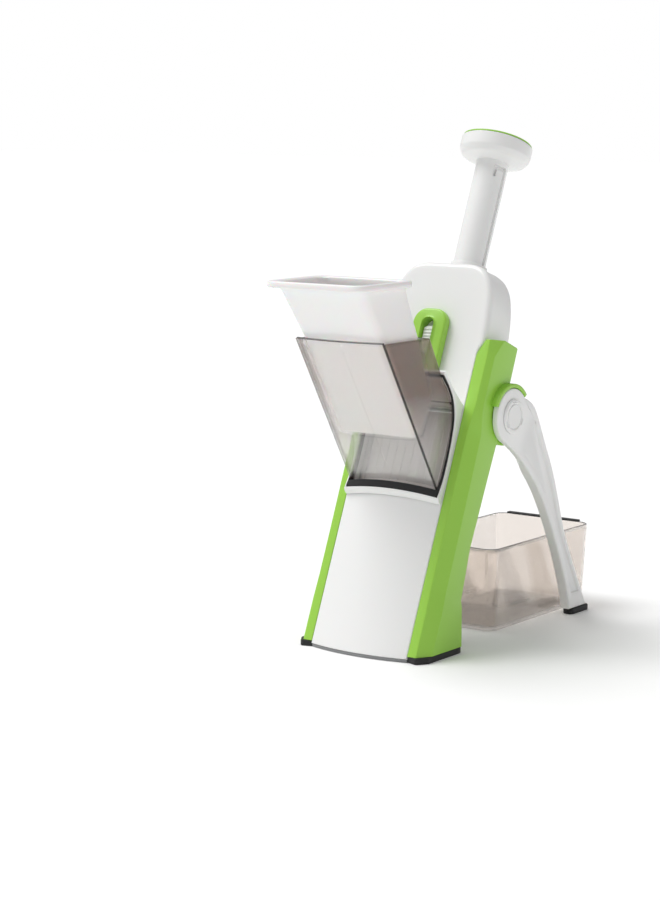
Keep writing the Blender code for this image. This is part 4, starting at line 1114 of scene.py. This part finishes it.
def spike_parts():
    """Short cones under the pusher's foot, standing out of a thin plate that lies along it."""
    front, rear = to_lean(26.6, 169.9), to_lean(46.5, 201.5)
    face = max(front[0], rear[0]) + 0.35
    parts = [skin(lean(box_rings((-32, face, front[1] + 4), (32, face + 1.5, rear[1] - 4), 0.5)))]
    cone = lathe([(0.0, 5.4), (0.25, 5.3), (1.2, 1.2), (1.2, 0.6), (0, 0.6)], 16)[..., [0, 2, 1]]
    for x in np.linspace(-27.5, 27.5, 6):
        for height in (front[1] + 10, rear[1] - 10):
            parts.append(skin(lean(cone + (x, face, height))))
    return parts


class SLICER_OT_pusher(bpy.types.Operator):
    """Milky food pusher with its flange, and the spiked plate under it"""

    bl_idname = "slicer.pusher"
    bl_label = "Food pusher"

    def execute(self, context):
        add_piece(
            "Food_pusher", [skin(stand(cup_rings(pusher_rows())))], milky_polypropylene(), "pusher",
            ["food_pusher"], 60,
        )
        add_piece(
            "Pusher_grip_plate", spike_parts(), stainless_steel(), "pusher", ["pusher_grip_plate"],
        )
        return {"FINISHED"}


def frame_rings(outer, inner, low, high, edge, steps=4):
    """A flat frame with quarter-round edges: its outer line over the low edge and the high edge, then its
    inner line back."""
    out = plate_rings(outer, low, high, edge, steps)
    hole = plate_rings(inner, low, high, -edge, steps)
    return np.concatenate([out, hole[::-1]])


def forward(rings):
    """Rings (x, height, level) laid so that the level runs out of the panel's face."""
    return np.stack([rings[..., 0], -rings[..., 2], rings[..., 1]], -1)


class SLICER_OT_latch(bpy.types.Operator):
    """Lime latch frame on the head, with its ribbed release slider and spring"""

    bl_idname = "slicer.latch"
    bl_label = "Latch"

    def execute(self, context):
        outer = resample(oblong(15.5, 29.5, 11.5, 24)[0] + (0, 253.5), 160, closed=True)
        inner = resample(oblong(5.8, 22.5, 5.4, 24)[0] + (0, 252.5), 160, closed=True)
        rings = frame_rings(outer, inner, 0.3, 8.0, 1.8)
        add_piece(
            "Latch_frame", [skin(lean(forward(rings)), closed=True)], green_abs(), "stand", ["latch_frame"],
        )
        body = plate_rings(oblong(5.2, 11.0, 3.2, 10)[0] + (0, 258), 0.5, 5.4, 0.8)
        parts = [skin(lean(forward(body)))]
        count = context.scene.slicer_sizes.slider_ribs
        for height in np.linspace(249.6, 266.4, count):
            rib = plate_rings(oblong(4.3, 0.75, 0.7, 6)[0] + (0, height), 4.8, 6.4, 0.5)
            parts.append(skin(lean(forward(rib))))
        add_piece("Release_slider", parts, white_abs(), "release", ["release_slider"])
        spring = coil((0, -3.3), 231.4, 246.6, 1.9, 0.3, 9)
        piece = add_piece(
            "Release_spring", [skin(lean(spring))], stainless_steel(), None, ["release_spring"],
        )
        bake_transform(piece)
        return {"FINISHED"}


def coil(centre, low, high, radius, wire, turns, steps=20, sides=8):
    """A wire round a helix: the middle of the wire is radius (cos, sin) of the angle, rising evenly; round
    it the wire's circle is wire (cos outwards + sin upwards)."""
    angle = np.linspace(0, 2 * math.pi * turns, turns * steps + 1)[:, None]
    out = np.concatenate([np.cos(angle), np.sin(angle), 0 * angle], 1)
    rise = np.linspace(low + wire, high - wire, len(angle))[:, None]
    middle = out * radius + np.concatenate([0 * angle + centre[0], 0 * angle + centre[1], rise], 1)
    turn = np.linspace(0, 2 * math.pi, sides, endpoint=False)[None, :, None]
    return middle[:, None] + wire * (out[:, None] * np.cos(turn) + np.array([0, 0, 1.0]) * np.sin(turn))


def shaft_rings():
    """The plunger's shaft: a cylinder whose radius falls by 3 mm in a long groove at its right and in a
    hooked slot near its top, each a product of smooth steps of the arc length and the height."""
    height = np.concatenate([np.linspace(238.5, 404, 50), np.linspace(404.5, 424, 70)])[:, None]
    turns = ((-math.pi, -0.95, 60), (-0.95, 0.3, 130), (0.3, math.pi, 60))  # close columns across the slots
    angle = np.concatenate([np.linspace(low, high, count)[:-1] for low, high, count in turns])[None]
    arc = angle * SHAFT_RADIUS

    def within(value, low, high, soft=0.25):
        """One between low and high, falling to zero by smooth steps outside them."""
        return smooth(value, low - soft, low) * (1 - smooth(value, high, high + soft))

    groove = within(arc, -1.5, 1.5) * within(height, 262, 416)
    hook = within(arc, -10.7, 0) * within(height, 412.6, 416)
    drop = within(arc, -10.7, -8.6) * within(height, 406.5, 416)
    radius = SHAFT_RADIUS - 3.0 * np.maximum(np.maximum(groove, hook), drop)
    return np.stack([radius * np.cos(angle), radius * np.sin(angle) + SHAFT_DEPTH, height + 0 * angle], -1)


class SLICER_OT_plunger(bpy.types.Operator):
    """White plunger shaft, palm knob and lime cap"""

    bl_idname = "slicer.plunger"
    bl_label = "Plunger"

    def execute(self, context):
        add_piece(
            "Plunger_shaft", [skin(lean(shaft_rings()))], white_abs(), "plunger", ["plunger_shaft"],
            50,
        )
        centre = (0, SHAFT_DEPTH, 0)
        corners = [
            (0.1, 438.0), (28.7, 438.0), (29.5, 437.4), (29.5, 427.6), (26.6, 422.9), (20.5, 421.3),
            (13.5, 420.2),
        ]
        radii = [0.01, 0.6, 0.8, 3.5, 5.0, 9, 0.5, 0.01]
        turned = fillet(corners + [(0.1, 420.2)], radii, 9)[9:-9]
        knob = np.concatenate([[(0, 438.0)], turned, [(0, 420.2)]])
        add_piece(
            "Plunger_knob", [skin(lean(lathe(knob, 128) + centre))], white_abs(), "plunger",
            ["plunger_knob"], 50,
        )
        crown = through([(6, 440.0), (16, 439.95), (24, 439.85), (27.6, 439.7)], 14)
        edge = [(28.3, 439.5), (28.65, 439.1), (28.75, 438.6), (28.7, 438.25), (0, 438.25)]
        cap = np.concatenate([[(0, 440.0)], crown, edge])
        add_piece(
            "Knob_cap", [skin(lean(lathe(cap, 128) + centre))], green_abs(), "plunger", ["knob_cap"],
            50,
        )
        return {"FINISHED"}


TRAY_FRONT, TRAY_REAR, TRAY_HALF, TRAY_HIGH = 124, 279, 46.5, 69.0


def tray_rows():
    """Key rows of the tray: its half widths shrink by 3 mm to the floor; up the outside, over the rim, down
    the inside."""
    wall = size("tray_wall")

    def row(z, out):
        """The tray's oblong at height z, moved out by out."""
        share = 1 - z / TRAY_HIGH
        ends = TRAY_FRONT + 3 * share - out, z, TRAY_REAR - 3 * share + out, z
        return [*ends, TRAY_HALF - 3 * share + out, 10 + out * 0.5, 0]

    outside = [
        (0.0, -3.0), (0.25, -1.4), (1.1, -0.35), (2.8, 0), (64.0, 0), (65.2, 0.0), (65.6, 0), (67.6, 0),
    ]
    outside += [(68.6, -0.3), (69.0, -0.9)]
    inside = [(69.0, 0.5), (68.6, 0), (5.4, 0), (3.4, -0.6), (2.6, -2.2), (2.4, -4)]
    keys = [row(z, out) for z, out in outside] + [row(z, -wall + out) for z, out in inside]
    return spread(keys, [1, 1, 1, 12, 1, 1, 1, 1, 1, 1, 1, 12, 1, 1, 1])


class SLICER_OT_tray(bpy.types.Operator):
    """Clear catch tray with the black grip strip on its rear rim"""

    bl_idname = "slicer.tray"
    bl_label = "Catch tray"

    def execute(self, context):
        rings = cup_rings(tray_rows(), 12)
        high = rings[:, 0, 2] > 68.3
        marked = np.append(np.repeat(high[:-1] & high[1:], rings.shape[1]), [False, False]).astype(np.int32)
        tray = [skin(stand(rings))]
        add_piece(
            "Catch_tray", tray, clear_san(), "tray", ["catch_tray"], 60,
            clear_plastic_edge(), marked,
        )
        strip = plate_rings(
            fillet([(-36, 273.2), (36, 273.2), (36, 278.4), (-36, 278.4)], [1.2] * 4, 5), 69.25, 70.9, 0.6,
        )
        add_piece("Tray_grip", [skin(stand(strip))], rubber(), "tray", ["tray_grip"])
        return {"FINISHED"}


class SLICER_OT_springs(bpy.types.Operator):
    """Return springs between the head and the blade carriage"""

    bl_idname = "slicer.springs"
    bl_label = "Return springs"

    def execute(self, context):
        turns = context.scene.slicer_sizes.spring_turns
        for side, word in ((-1, "left"), (1, "right")):
            low, high = (side * 30.0, 30.0, 238.3), (side * 30.0, 30.0, 303.4)
            rings = coil(low[:2], low[2], high[2], 3.9, size("spring_wire"), turns)
            piece = add_piece(
                f"Return_spring_{word}", [skin(lean(rings))], stainless_steel(), None,
                [f"return_spring_{word}"],
            )
            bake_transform(piece)
        return {"FINISHED"}


class SLICER_OT_mechanism(bpy.types.Operator):
    """Finishes of the pieces inside: carriage, blade, stop plate, dial, comb, pins and screws"""

    bl_idname = "slicer.mechanism"
    bl_label = "Mechanism"

    def execute(self, context):
        keep_nodes(["blade_carriage", "thickness_plate"], white_abs())
        keep_nodes(["thickness_dial", "comb_lever"], green_abs())
        keep_nodes(["shaft_bushing"], grey_abs())
        steel = [
            "main_blade", "blade_clamp", "blade_screw_left", "blade_screw_right", "adjuster_post",
            "julienne_comb",
        ]
        steel += ["spring_post_left", "spring_post_right"] + [
            f"housing_screw_{number}"
            for number in range(1, 5)
        ]
        keep_nodes(steel, stainless_steel())
        return {"FINISHED"}


FLOOR_HALF = 12.0  # metres
ROOM_LIGHT, BACKDROP_LIGHT = 0.46, 1.0  # what lights the object, and what the camera sees behind it
SUN_ENERGY, SUN_SPREAD, SUN_DIRECTION = 2.2, 38, (0.45, 0.2, -0.87)
CAMERA_LENS, CAMERA_SENSOR, CAMERA_CLIP = 93.08, 36.0, (0.05, 50.0)
CAMERA_PLACE = (1.03846, -1.43418 - DATUM * MM, 0.43096)
CAMERA_TARGET = (-0.02614, -DATUM * MM, 0.15961)


class SLICER_OT_stage(bpy.types.Operator):
    """Pale floor, soft studio light and camera"""

    bl_idname = "slicer.stage"
    bl_label = "Stage"

    def execute(self, context):
        scene = context.scene
        material = finish_of(
            "Pale studio floor",
            **{"Base Color": (*colours().floor, 1), "Roughness": 0.9, "Specular IOR Level": 0.0},
        )[0]
        mesh = bpy.data.meshes.new("Floor")
        far = FLOOR_HALF
        mesh.from_pydata(
            [(-far, -far, 0), (far, -far, 0), (far, far, 0), (-far, far, 0)], [], [(0, 1, 2, 3)],
        )
        mesh.materials.append(material)
        floor = bpy.data.objects.new("Floor", mesh)
        scene.collection.objects.link(floor)
        world = bpy.data.worlds.new("Studio")
        world.use_nodes = True
        tree = world.node_tree
        room = tree.nodes["Background"]
        room.inputs["Color"].default_value = (1, 1, 1, 1)
        room.inputs["Strength"].default_value = ROOM_LIGHT
        backdrop = add_node(
            tree, "ShaderNodeBackground", {"Color": (1, 1, 1, 1), "Strength": BACKDROP_LIGHT}, {},
        )
        path = add_node(tree, "ShaderNodeLightPath", {}, {})
        both = {0: path.outputs["Is Camera Ray"], 1: room.outputs[0], 2: backdrop.outputs[0]}
        mixed = add_node(tree, "ShaderNodeMixShader", {}, both)
        tree.links.new(mixed.outputs[0], tree.nodes["World Output"].inputs["Surface"])
        scene.world = world
        scene.view_settings.view_transform = "Standard"
        lamp = bpy.data.lights.new("Overhead softbox", "SUN")
        lamp.energy, lamp.angle = SUN_ENERGY, math.radians(SUN_SPREAD)
        key = bpy.data.objects.new("Overhead softbox", lamp)
        scene.collection.objects.link(key)
        key.rotation_euler = Vector(SUN_DIRECTION).to_track_quat("-Z", "Y").to_euler()
        lens = bpy.data.cameras.new("Camera")
        lens.lens, lens.sensor_width = CAMERA_LENS, CAMERA_SENSOR
        lens.clip_start, lens.clip_end = CAMERA_CLIP
        camera = bpy.data.objects.new("Camera", lens)
        scene.collection.objects.link(camera)
        camera.location = CAMERA_PLACE
        camera.rotation_euler = (
            Vector(CAMERA_TARGET) - camera.location
        ).to_track_quat("-Z", "Y").to_euler()
        scene.camera = camera
        return {"FINISHED"}


PIECE_OPERATORS = (
    SLICER_OT_front_housing, SLICER_OT_rear_housing, SLICER_OT_rails, SLICER_OT_legs, SLICER_OT_chute,
    SLICER_OT_collar,
    SLICER_OT_pusher, SLICER_OT_latch, SLICER_OT_plunger, SLICER_OT_tray, SLICER_OT_springs,
    SLICER_OT_mechanism, SLICER_OT_stage,
)


class SLICER_PT_panel(bpy.types.Panel):
    """Builds the slicer piece by piece"""

    bl_idname = "SLICER_PT_panel"
    bl_label = "Mandoline slicer"
    bl_space_type = "VIEW_3D"
    bl_region_type = "UI"
    bl_category = "Slicer"

    def draw(self, context):
        for group in (context.scene.slicer_sizes, context.scene.slicer_colours):
            column = self.layout.column()
            for name in group.__annotations__:
                column.prop(group, name)
        for operator in PIECE_OPERATORS:
            self.layout.operator(operator.bl_idname)


CLASSES = (SlicerColours, SlicerSizes, *PIECE_OPERATORS, SLICER_PT_panel)


def register():
    for item in CLASSES:
        bpy.utils.register_class(item)
    bpy.types.Scene.slicer_colours = bpy.props.PointerProperty(type=SlicerColours)
    bpy.types.Scene.slicer_sizes = bpy.props.PointerProperty(type=SlicerSizes)


def unregister():
    del bpy.types.Scene.slicer_colours
    del bpy.types.Scene.slicer_sizes
    for item in reversed(CLASSES):
        bpy.utils.unregister_class(item)


def main():
    """Builds everything in order."""
    register()
    for operator in PIECE_OPERATORS:
        getattr(bpy.ops.slicer, operator.bl_idname.split(".")[1])()


if __name__ == "__main__":
    main()
